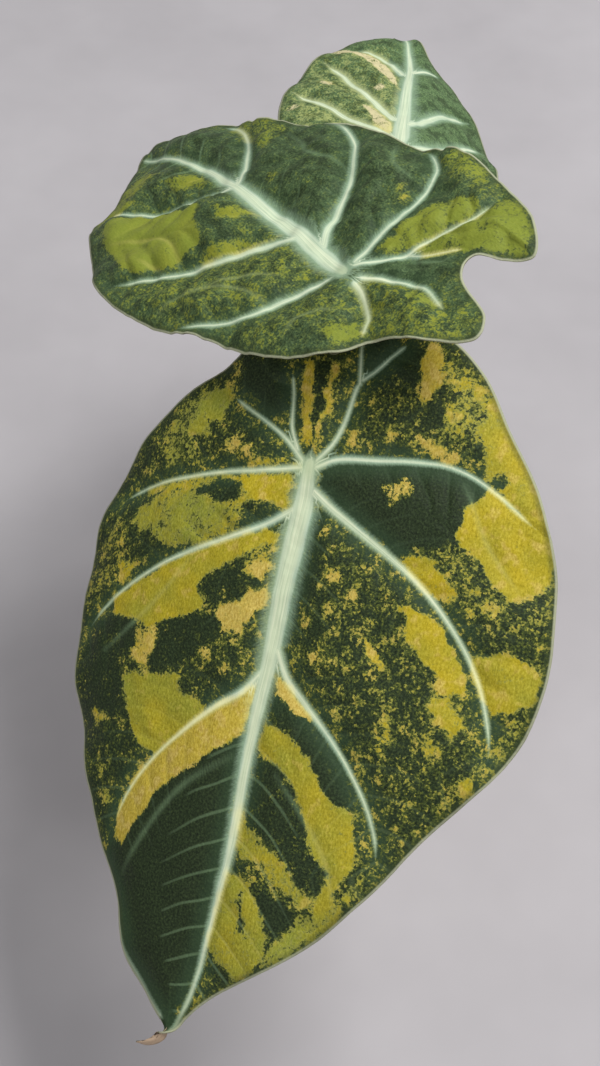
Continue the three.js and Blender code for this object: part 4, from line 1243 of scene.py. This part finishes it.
def make_blade(name, leaf, look, materials):
    """A grid bent to the leaf's outline, raised and marked point by point, and then thickened."""
    cells = leaf["cells"]
    bpy.ops.object.select_all(action="DESELECT")
    bpy.ops.mesh.primitive_grid_add(x_subdivisions=cells, y_subdivisions=cells, size=2)
    piece = active_piece(f"leaf_blade_{name}")
    square = read_points(piece)
    plan, outline = plan_of_grid(leaf, square[:, 0], square[:, 1])
    a, b = plan.T
    margin, margin_run, _ = nearest(plan, outline)
    veins = vein_layout(leaf, plan)
    beyond, cross, slant, width, strength, branching = veins
    crease, hollow = crease_marks(leaf, plan)
    lift = blade_relief(leaf, look, plan, margin, margin_run, veins, hollow)
    level, tone = variegation(leaf, plan)
    # How young a leaf is also sets how far it is painted paler, partly as painted sheen.
    youth_and_sheen = np.full(len(plan), leaf["youth_and_sheen"])
    write_points(piece, leaf_points(leaf, a, b, lift) * MM)
    paint(piece, "leaf_place", np.column_stack([a, b, margin]))
    paint(piece, "leaf_vein", np.column_stack([beyond, cross, slant]))
    paint(piece, "leaf_patch", np.column_stack([level, tone, crease]))
    paint(piece, "leaf_size", np.column_stack([width, youth_and_sheen, strength * branching]))
    thicken_blade(piece, look, margin, np.maximum(beyond, 0), width)
    for material in materials:
        piece.data.materials.append(material)
    apply_modifiers(piece)
    settle_blade(piece, name)


def settle_blade(piece, name):
    """Ties a finished blade to the frame. It keeps the materials of its two faces and its rim."""
    bpy.ops.object.shade_smooth()
    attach(piece, "root")
    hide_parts(f"blade_{name}")
    piece.select_set(False)


class ALOCASIA_OT_leaf_blades(bpy.types.Operator):
    """Model the three leaf blades with their veins, relief and variegation"""

    bl_idname = "alocasia.leaf_blades"
    bl_label = "Leaf blades"

    def execute(self, context):
        look = context.scene.alocasia_leaf
        materials = [
            finish_material("Velvet leaf face", leaf_face),
            finish_material("Waxy leaf underside", leaf_underside),
            finish_material("Pale leaf rim", leaf_rim),
        ]
        for name, leaf in LEAVES.items():
            make_blade(name, leaf, look, materials)
        return {"FINISHED"}


# The pot

# The pot's half section as (radius, height) from its foot up the wall, over the rim and down inside to the
# floor, in millimetres, with its corners rounded.
POT_CORNERS = [(28, 0), (32, 0), (40.9, 67), (42.6, 68), (45, 80), (38.9, 80), (29.1, 5), (26, 5)]
POT_ROUNDING = 1.3
POT_STEP = 1.1
POT_SIDES = 128
POT_FLOOR_RADIUS = 29
DRAIN_RADIUS = 3.5
DRAIN_CIRCLE = 20
DRAIN_CUT = 12

# Throwing rings lie RING_SPACING apart. They are fainter on the band below the rim and inside the wall.
RING_SPACING = 3.3
BAND_FOOT = 66.5
BAND_RADIUS = 40
WALL_RADIUS = 31.5


class ALOCASIA_OT_pot(bpy.types.Operator):
    """Throw the stoneware pot and bore its drain holes"""

    bl_idname = "alocasia.pot"
    bl_label = "Pot"

    def execute(self, context):
        look = context.scene.alocasia_pot
        piece = turned("pot_body", stepped(eased(POT_CORNERS, POT_ROUNDING), POT_STEP), POT_SIDES)
        for quarter in range(4):
            turn = math.radians(45 + 90 * quarter)
            place = (DRAIN_CIRCLE * math.cos(turn), DRAIN_CIRCLE * math.sin(turn), 2)
            cut_round(piece, place, DRAIN_RADIUS, DRAIN_CUT)
        points = read_points(piece) / MM
        radius = np.hypot(points[:, 0], points[:, 1])
        turn = np.arctan2(points[:, 1], points[:, 0])
        rings = np.sin(2 * math.pi * points[:, 2] / RING_SPACING + turn)
        rings += 0.6 * np.sin(2 * math.pi * points[:, 2] / (2.7 * RING_SPACING) + 1 + turn)
        body = smooth_step(2, 5, points[:, 2]) * smooth_step(79.5, 77, points[:, 2])
        body *= radius > POT_FLOOR_RADIUS
        faint = np.where((points[:, 2] > BAND_FOOT) & (radius > BAND_RADIUS), 0.35, 1)
        faint *= np.where(radius > WALL_RADIUS, 1, 0.6)
        offset = -look.ring / MM * np.clip(rings + 0.9, 0, 3) / 2 * body * faint
        offset += 0.1 * ripple(points, 14, 5) * body
        points[:, :2] *= (1 + offset / np.maximum(radius, 1))[:, None]
        write_points(piece, points * MM)
        settle(piece, ("pot",), [finish_material("Unglazed stoneware", stoneware)], 35)
        return {"FINISHED"}


# The filling

# The potting mix fills the pot from its floor to BED_TOP. Crumbs lie on it between the crown and the wall.
# Sizes are in millimetres.
BED_CORNERS = [(25, 5.4), (28.6, 5.4), (37.5, 71.6), (36.6, 73.2), (1, 73.4)]
BED_STEP = 0.85
BED_SIDES = 112
BED_TOP = 73.5
CROWN_RADIUS = 13.4
CRUMB_REACH = 36.6
CRUMB_SHARES = (66, 24, 10)
CRUMB_SHAPES = ((1, 0.85, 0.7), (2.1, 1.1, 0.6), (1.25, 1.1, 1))
CRUMB_SEED = 11
BARK_CHIPS = 8
PUMICE_GRAINS = 7


def make_bed(material):
    """The potting mix, turned to fill the pot, with a lumpy top."""
    piece = turned("potting_bed", stepped(BED_CORNERS, BED_STEP), BED_SIDES)
    points = read_points(piece) / MM
    radius = np.hypot(points[:, 0], points[:, 1])
    top = smooth_step(70.5, 73, points[:, 2])
    middle = smooth_step(37.6, 35, radius)
    lumps = 1.1 * ripple(points, 5, 2) + 0.7 * ripple(points, 1.9, 7)
    points[:, 2] += top * (lumps * middle - 0.3)
    write_points(piece, points * MM)
    settle(piece, ("potting_mix",), [material], 180)


def make_crumbs(look, material):
    """Several hundred crumbs in one piece: mostly peat, some bark slivers, some perlite."""
    picker = random.Random(CRUMB_SEED)
    bpy.ops.object.select_all(action="DESELECT")
    bpy.ops.mesh.primitive_cube_add(size=1.5)
    first = active_piece("loose_crumbs")
    bpy.ops.object.mode_set(mode="EDIT")
    bpy.ops.mesh.subdivide(number_cuts=1, smoothness=0.9)
    bpy.ops.object.mode_set(mode="OBJECT")
    shape = read_points(first)
    crumbs = []
    for _ in range(look.crumbs):
        kind = picker.choices((0, 1, 2), CRUMB_SHARES)[0]
        size = look.crumb_size / MM * (1 + 1.1 * picker.random() ** 2)
        jitter = np.array([[picker.uniform(0.78, 1.22) for _ in range(3)] for _ in shape])
        turn = Matrix.Rotation(picker.uniform(0, math.tau), 3, "Z")
        turn = turn @ Matrix.Rotation(picker.gauss(0, 0.45), 3, "X")
        radius = math.sqrt(picker.uniform(CROWN_RADIUS**2, CRUMB_REACH**2))
        way = picker.uniform(0, math.tau)
        height = BED_TOP + 0.55 * picker.random() + 0.25 * size
        place = (radius * math.cos(way), radius * math.sin(way), height)
        crumb = first.copy()
        crumb.data = first.data.copy()
        bpy.context.collection.objects.link(crumb)
        solid = shape * jitter * size * CRUMB_SHAPES[kind]
        write_points(crumb, (solid @ np.array(turn).T + place) * MM)
        paint(crumb, "crumb", np.tile((picker.random() * 0.6, kind, 0), (len(shape), 1)))
        crumbs.append(crumb)
    bpy.data.objects.remove(first)
    for crumb in crumbs:
        crumb.select_set(True)
    bpy.context.view_layer.objects.active = crumbs[0]
    bpy.ops.object.join()
    piece = active_piece("loose_crumbs")
    settle(piece, (), [material], 30)


def make_chip(number, material):
    """A slab of bark with stepped, broken ends and fissures along its top."""
    middle, half, turn = node_place(f"bark_chip_{number}")
    bpy.ops.object.select_all(action="DESELECT")
    bpy.ops.mesh.primitive_cube_add(size=2)
    piece = active_piece(f"bark_{number}")
    bpy.ops.object.mode_set(mode="EDIT")
    bpy.ops.mesh.subdivide(number_cuts=17)
    bpy.ops.object.mode_set(mode="OBJECT")
    cube = read_points(piece)
    layer = np.floor((cube[:, 2] + 1) * 2.6)
    spin = np.arctan2(cube[:, 1], cube[:, 0])
    ragged = ripple(np.column_stack([2 * np.cos(spin), 2 * np.sin(spin), 0.9 * layer]), 1.1, 13 * number, 3)
    shrink = 0.9 + 0.16 * np.clip(ragged, -1, 0.6) - 0.05 * np.abs(cube[:, 0] * cube[:, 1]) ** 3
    points = cube * half
    points[:, :2] *= shrink[:, None]
    stretched = points * (0.35, 1, 0.3)
    top = smooth_step(-0.6, 1, cube[:, 2])
    points[:, 2] += top * (0.45 * ripple(stretched, 1.3, 31 * number) - 0.25)
    points[:, 2] += 0.5 * half[2] * (0.4 - (points[:, 1] / half[1]) ** 2) * 0.5
    points[:, 1] += 0.25 * ripple(points * (0.3, 0.3, 2), 1.5, 7 * number)
    write_points(piece, (spin_about_z(points, turn) + middle) * MM)
    paint(piece, "chip", points + (0, 0, 9 * number))
    settle(piece, (f"bark_chip_{number}",), [material], 32)


def make_grain(number, material):
    """A rounded grain of pumice with open pits."""
    middle, half, _ = node_place(f"pumice_grain_{number}")
    bpy.ops.object.select_all(action="DESELECT")
    bpy.ops.mesh.primitive_ico_sphere_add(subdivisions=5, radius=1)
    piece = active_piece(f"pumice_{number}")
    ball = read_points(piece)
    swell = 0.93 + 0.16 * ripple(ball, 0.9, 17 * number, 2)
    pits = np.array([noise.voronoi(Vector(p * 2.6 + number * 5))[0][0] for p in ball])
    small = np.array([noise.voronoi(Vector(p * 6.5 + number * 3))[0][0] for p in ball])
    swell -= 0.13 * smooth_step(0.36, 0.12, pits) + 0.05 * smooth_step(0.34, 0.1, small)
    write_points(piece, (ball * swell[:, None] * half.mean() + middle) * MM)
    settle(piece, (f"pumice_grain_{number}",), [material], 180)


class ALOCASIA_OT_filling(bpy.types.Operator):
    """Fill the pot with potting mix, loose crumbs, bark and pumice"""

    bl_idname = "alocasia.filling"
    bl_label = "Filling"

    def execute(self, context):
        look = context.scene.alocasia_mix
        make_bed(finish_material("Damp peat", damp_peat))
        if look.crumbs:
            make_crumbs(look, finish_material("Loose crumbs", loose_crumbs))
        bark = finish_material("Fir bark", fir_bark)
        for number in range(1, BARK_CHIPS + 1):
            make_chip(number, bark)
        pumice = finish_material("Pumice", pumice_stone)
        for number in range(1, PUMICE_GRAINS + 1):
            make_grain(number, pumice)
        return {"FINISHED"}


# The crown: corm, stalks and dry sheaths

# The corm's half section is (radius, height), in millimetres, as all sizes here are.
CORM_PROFILE = [
    (1, 56), (7, 57.5), (11.5, 62), (13, 68), (12.6, 73), (11.6, 78), (9.6, 81), (5, 82), (1, 82.2)]
CORM_STEP = 0.45
CORM_SIDES = 72
SCAR_SPACING = 2.1

# Stalks stand on a circle on the corm, rise straight at first, and end STALK_SEAT below their blade's skin.
STALK_CIRCLE = 5.2
STALK_FOOT = 81.8
STALK_RISE = 26
STALK_SEAT = 1.45
STALK_STEP = 0.8
STALK_SIDES = 40

# A sheath is the angle of its middle, half the angle that it spans, and its height.
SHEATHS = {"left": (190, 38, 22), "right": (315, 22, 16)}
SHEATH_RADIUS = 8.8
SHEATH_WALL = 0.3


class ALOCASIA_OT_corm(bpy.types.Operator):
    """Model the corm with the ring scars of old leaves"""

    bl_idname = "alocasia.corm"
    bl_label = "Corm"

    def execute(self, context):
        piece = turned("corm_body", stepped(CORM_PROFILE, CORM_STEP), CORM_SIDES)
        points = read_points(piece) / MM
        radius = np.maximum(np.hypot(points[:, 0], points[:, 1]), 1e-6)
        turn = np.arctan2(points[:, 1], points[:, 0])
        drift = ripple(np.column_stack([2 * np.cos(turn), 2 * np.sin(turn), 0 * turn]), 1.4, 3)
        step = (points[:, 2] / SCAR_SPACING + 0.6 * drift) % 1
        offset = (0.35 * step**3 - 0.15 + 0.3 * ripple(points, 2.4, 8)) * smooth_step(2, 6, radius)
        points[:, :2] *= (1 + offset / radius)[:, None]
        points[:, 2] += 0.35 * ripple(points, 1.8, 4) * smooth_step(80, 81.5, points[:, 2])
        write_points(piece, points * MM)
        settle(piece, ("corm",), [finish_material("Corky skin", corky_skin)], 50)
        return {"FINISHED"}


def stalk_path(leaf, count):
    """Points along a stalk, from its foot on the corm to the underside of its blade's junction."""
    turn = math.radians(leaf["stalk_angle"])
    normal = leaf_axes(leaf)[2]
    foot = np.array([STALK_CIRCLE * math.cos(turn), STALK_CIRCLE * math.sin(turn), STALK_FOOT])
    head = np.array(leaf["junction"]) - normal * STALK_SEAT
    t = np.linspace(0, 1, count)[:, None]
    return ((1 - t) ** 3 * foot + 3 * (1 - t) ** 2 * t * (foot + (0, 0, STALK_RISE))
            + 3 * (1 - t) * t**2 * (head - normal * leaf["reach"]) + t**3 * head)


def path_frames(path):
    """Two directions across a path at each of its points, carried along it without twisting."""
    ahead = np.gradient(path, axis=0)
    ahead /= np.linalg.norm(ahead, axis=1)[:, None]
    side = np.cross(ahead[0], (0.3, 1, 0))
    sides = []
    for way in ahead:
        side = side - way * (side @ way)
        side /= np.linalg.norm(side)
        sides.append(side)
    sides = np.array(sides)
    return sides, np.cross(ahead, sides)


def make_stalk(name, leaf, look, material):
    """A straight tapered rod, turned ring by ring and then laid along the stalk's path."""
    foot, head = look.foot / MM, look.head / MM
    path = stalk_path(leaf, 160)
    runs = run_along(path)
    length = runs[-1]
    heights = np.linspace(0, length, round(length / STALK_STEP))
    shares = heights / length
    radii = head + (foot - head) * (1 - shares) ** 1.7 + 0.5 * smooth_step(0.93, 1, shares)
    ends = np.minimum((heights + 0.4) / 1.6, (length - heights + 0.5) / 1.2)
    radii *= np.sqrt(np.clip(ends, 0.1, 1))
    piece = turned(f"stalk_{name}", list(zip(radii, heights)), STALK_SIDES)
    rod = read_points(piece) / MM
    turn = np.arctan2(rod[:, 1], rod[:, 0])
    share = rod[:, 2] / length
    ridged = 1 + 0.02 * np.sin(9 * turn) + 0.012 * np.sin(17 * turn + 2)
    groove = 1 - 0.16 * np.exp(-((turn / 0.5) ** 2)) * smooth_step(0.97, 0.6, share)
    rod[:, :2] *= (ridged * groove)[:, None]
    rod[:, :2] *= 1 + 0.05 * ripple(rod * (0.2, 0.2, 1), 9, 2)[:, None]
    sides, others = path_frames(path)
    centre, side, other = (
        np.column_stack([np.interp(rod[:, 2], runs, values[:, axis]) for axis in range(3)])
        for values in (path, sides, others))
    write_points(piece, (centre + side * rod[:, :1] + other * rod[:, 1:2]) * MM)
    paint(piece, "stalk", np.column_stack([np.abs(turn) * 2.6 + 20 * (turn > 0), rod[:, 2], share]))
    settle(piece, (f"petiole_{name}",), [material], 60)


class ALOCASIA_OT_stalks(bpy.types.Operator):
    """Grow the three fleshy leaf stalks"""

    bl_idname = "alocasia.stalks"
    bl_label = "Leaf stalks"

    def execute(self, context):
        material = finish_material("Fleshy leaf stalk", fleshy_stalk)
        for name, leaf in LEAVES.items():
            make_stalk(name, leaf, context.scene.alocasia_stalk, material)
        return {"FINISHED"}


class ALOCASIA_OT_sheaths(bpy.types.Operator):
    """Wrap the two dry sheaths of older leaves round the crown"""

    bl_idname = "alocasia.sheaths"
    bl_label = "Dry sheaths"

    def execute(self, context):
        material = finish_material("Papery dry sheath", papery_sheath)
        for number, (name, (middle, half, height)) in enumerate(SHEATHS.items()):
            bpy.ops.object.select_all(action="DESELECT")
            bpy.ops.mesh.primitive_grid_add(x_subdivisions=56, y_subdivisions=44, size=2)
            piece = active_piece(f"dry_sheath_{name}")
            u, v = read_points(piece)[:, :2].T
            v = (v + 1) / 2
            torn = ripple(np.column_stack([u * 7, 0 * u, 0 * u]), 1.1, 5 + number, 4)
            top = height * (0.98 - 0.5 * np.abs(u + 0.15) ** 1.6 + 0.09 * torn)
            rise = v * top
            narrow = 1 - 0.35 * v**1.5
            turn = np.radians(middle + half * u * narrow)
            crinkle = ripple(np.column_stack([u * 6, v * 2, 0 * u]), 1, 9)
            flare = 1.4 * np.abs(u) ** 3 * v + 0.9 * v**2 + 0.25 * crinkle
            radius = SHEATH_RADIUS + flare - 1.2 * (1 - v) * v
            points = np.column_stack([radius * np.cos(turn), radius * np.sin(turn), STALK_FOOT + rise])
            write_points(piece, points * MM)
            paint(piece, "sheath", np.column_stack([np.radians(half) * 9 * u, rise, v]))
            wall = piece.modifiers.new("wall", "SOLIDIFY")
            wall.thickness = SHEATH_WALL * MM
            wall.offset = 0
            apply_modifiers(piece)
            settle(piece, (f"sheath_{name}",), [material], 60)
        return {"FINISHED"}


# The stage

# The camera's place and sensor are in millimetres. It looks down, CAMERA_TILT degrees off the vertical.
CAMERA_PLACE = (-3.6, -248.3, 369.1)
CAMERA_LENS = 50
CAMERA_TILT = 40
SENSOR_HEIGHT = 36
NEAREST_SEEN = 10

# A light is its name, its place and the side of its square in metres, and its power in watts.
LIGHTS = (
    ("key_light", (0.5, 0.1, 1.15), 0.5, 12.5),
    ("fill_light", (-0.5, -1.0, 0.9), 1.2, 4.5),
)
LIGHT_AIM = (0, -0.02, 0.12)
SKY_COLOUR = "#eef0f4"
SKY_STRENGTH = 0.4
FLOOR_SIZE = 6


def floor_surface(tree):
    """Painted plaster floor: pale, matt and faintly uneven, in clouds about 11 cm wide."""
    place = add(tree, "TexCoord", out="Object")
    cloud = add(tree, "TexNoise", {"Vector": place, "Scale": 9.0, "Detail": 4, "Roughness": 0.6})
    skin = add(tree, "ValToRGB", {0: cloud}, stops=[(0.3, "#b0acae"), (0.7, "#bebabc")])
    return add(tree, "BsdfPrincipled", {"Base Color": skin, "Roughness": 0.9, "Specular IOR Level": 0.2})


class ALOCASIA_OT_stage(bpy.types.Operator):
    """Set up the floor, the soft lights and the camera"""

    bl_idname = "alocasia.stage"
    bl_label = "Stage"

    def execute(self, context):
        scene = context.scene
        bpy.ops.object.select_all(action="DESELECT")
        bpy.ops.mesh.primitive_plane_add(size=FLOOR_SIZE, location=(0, 0, 0))
        floor = active_piece("floor")
        floor.data.materials.append(finish_material("Painted plaster floor", floor_surface))
        for name, place, size, power in LIGHTS:
            bpy.ops.object.light_add(type="AREA", location=place)
            light = active_piece(name)
            light.data.size = size
            light.data.energy = power
            aim = Vector(LIGHT_AIM) - Vector(place)
            light.rotation_euler = aim.to_track_quat("-Z", "Y").to_euler()
        world = bpy.data.worlds.new("Soft studio")
        world.use_nodes = True
        sky = world.node_tree.nodes["Background"]
        sky.inputs["Color"].default_value = colour(SKY_COLOUR)
        sky.inputs["Strength"].default_value = SKY_STRENGTH
        scene.world = world
        bpy.ops.object.camera_add(location=[c * MM for c in CAMERA_PLACE])
        camera = active_piece("camera")
        camera.rotation_euler = (math.radians(CAMERA_TILT), 0, 0)
        camera.data.lens = CAMERA_LENS
        camera.data.sensor_fit = "VERTICAL"
        camera.data.sensor_height = SENSOR_HEIGHT
        camera.data.clip_start = NEAREST_SEEN * MM
        scene.camera = camera
        scene.view_settings.view_transform = "Standard"
        return {"FINISHED"}


class ALOCASIA_PT_panel(bpy.types.Panel):
    """Sizes and colours of the plant, and the buttons that build it"""

    bl_label = "Potted Alocasia"
    bl_idname = "ALOCASIA_PT_panel"
    bl_space_type = "VIEW_3D"
    bl_region_type = "UI"
    bl_category = "Alocasia"

    def draw(self, context):
        layout = self.layout
        for place in LOOKS:
            group = getattr(context.scene, place)
            layout.label(text=group.bl_rna.description)
            for name in group.bl_rna.properties.keys():
                if name not in ("rna_type", "name"):
                    layout.prop(group, name)
        for operator in OPERATORS:
            layout.operator(operator.bl_idname)


OPERATORS = (
    ALOCASIA_OT_stage, ALOCASIA_OT_pot, ALOCASIA_OT_filling, ALOCASIA_OT_corm, ALOCASIA_OT_stalks,
    ALOCASIA_OT_sheaths, ALOCASIA_OT_leaf_blades,
)
LOOKS = {
    "alocasia_leaf": LeafLook,
    "alocasia_stalk": StalkLook,
    "alocasia_pot": PotLook,
    "alocasia_mix": MixLook,
}
CLASSES = (*LOOKS.values(), *OPERATORS, ALOCASIA_PT_panel)


def register():
    for kind in CLASSES:
        bpy.utils.register_class(kind)
    for place, kind in LOOKS.items():
        setattr(bpy.types.Scene, place, bpy.props.PointerProperty(type=kind))


def unregister():
    for place in LOOKS:
        delattr(bpy.types.Scene, place)
    for kind in reversed(CLASSES):
        bpy.utils.unregister_class(kind)


def main():
    register()
    bpy.ops.alocasia.stage()
    bpy.ops.alocasia.pot()
    bpy.ops.alocasia.filling()
    bpy.ops.alocasia.corm()
    bpy.ops.alocasia.stalks()
    bpy.ops.alocasia.sheaths()
    bpy.ops.alocasia.leaf_blades()


if __name__ == "__main__":
    main()
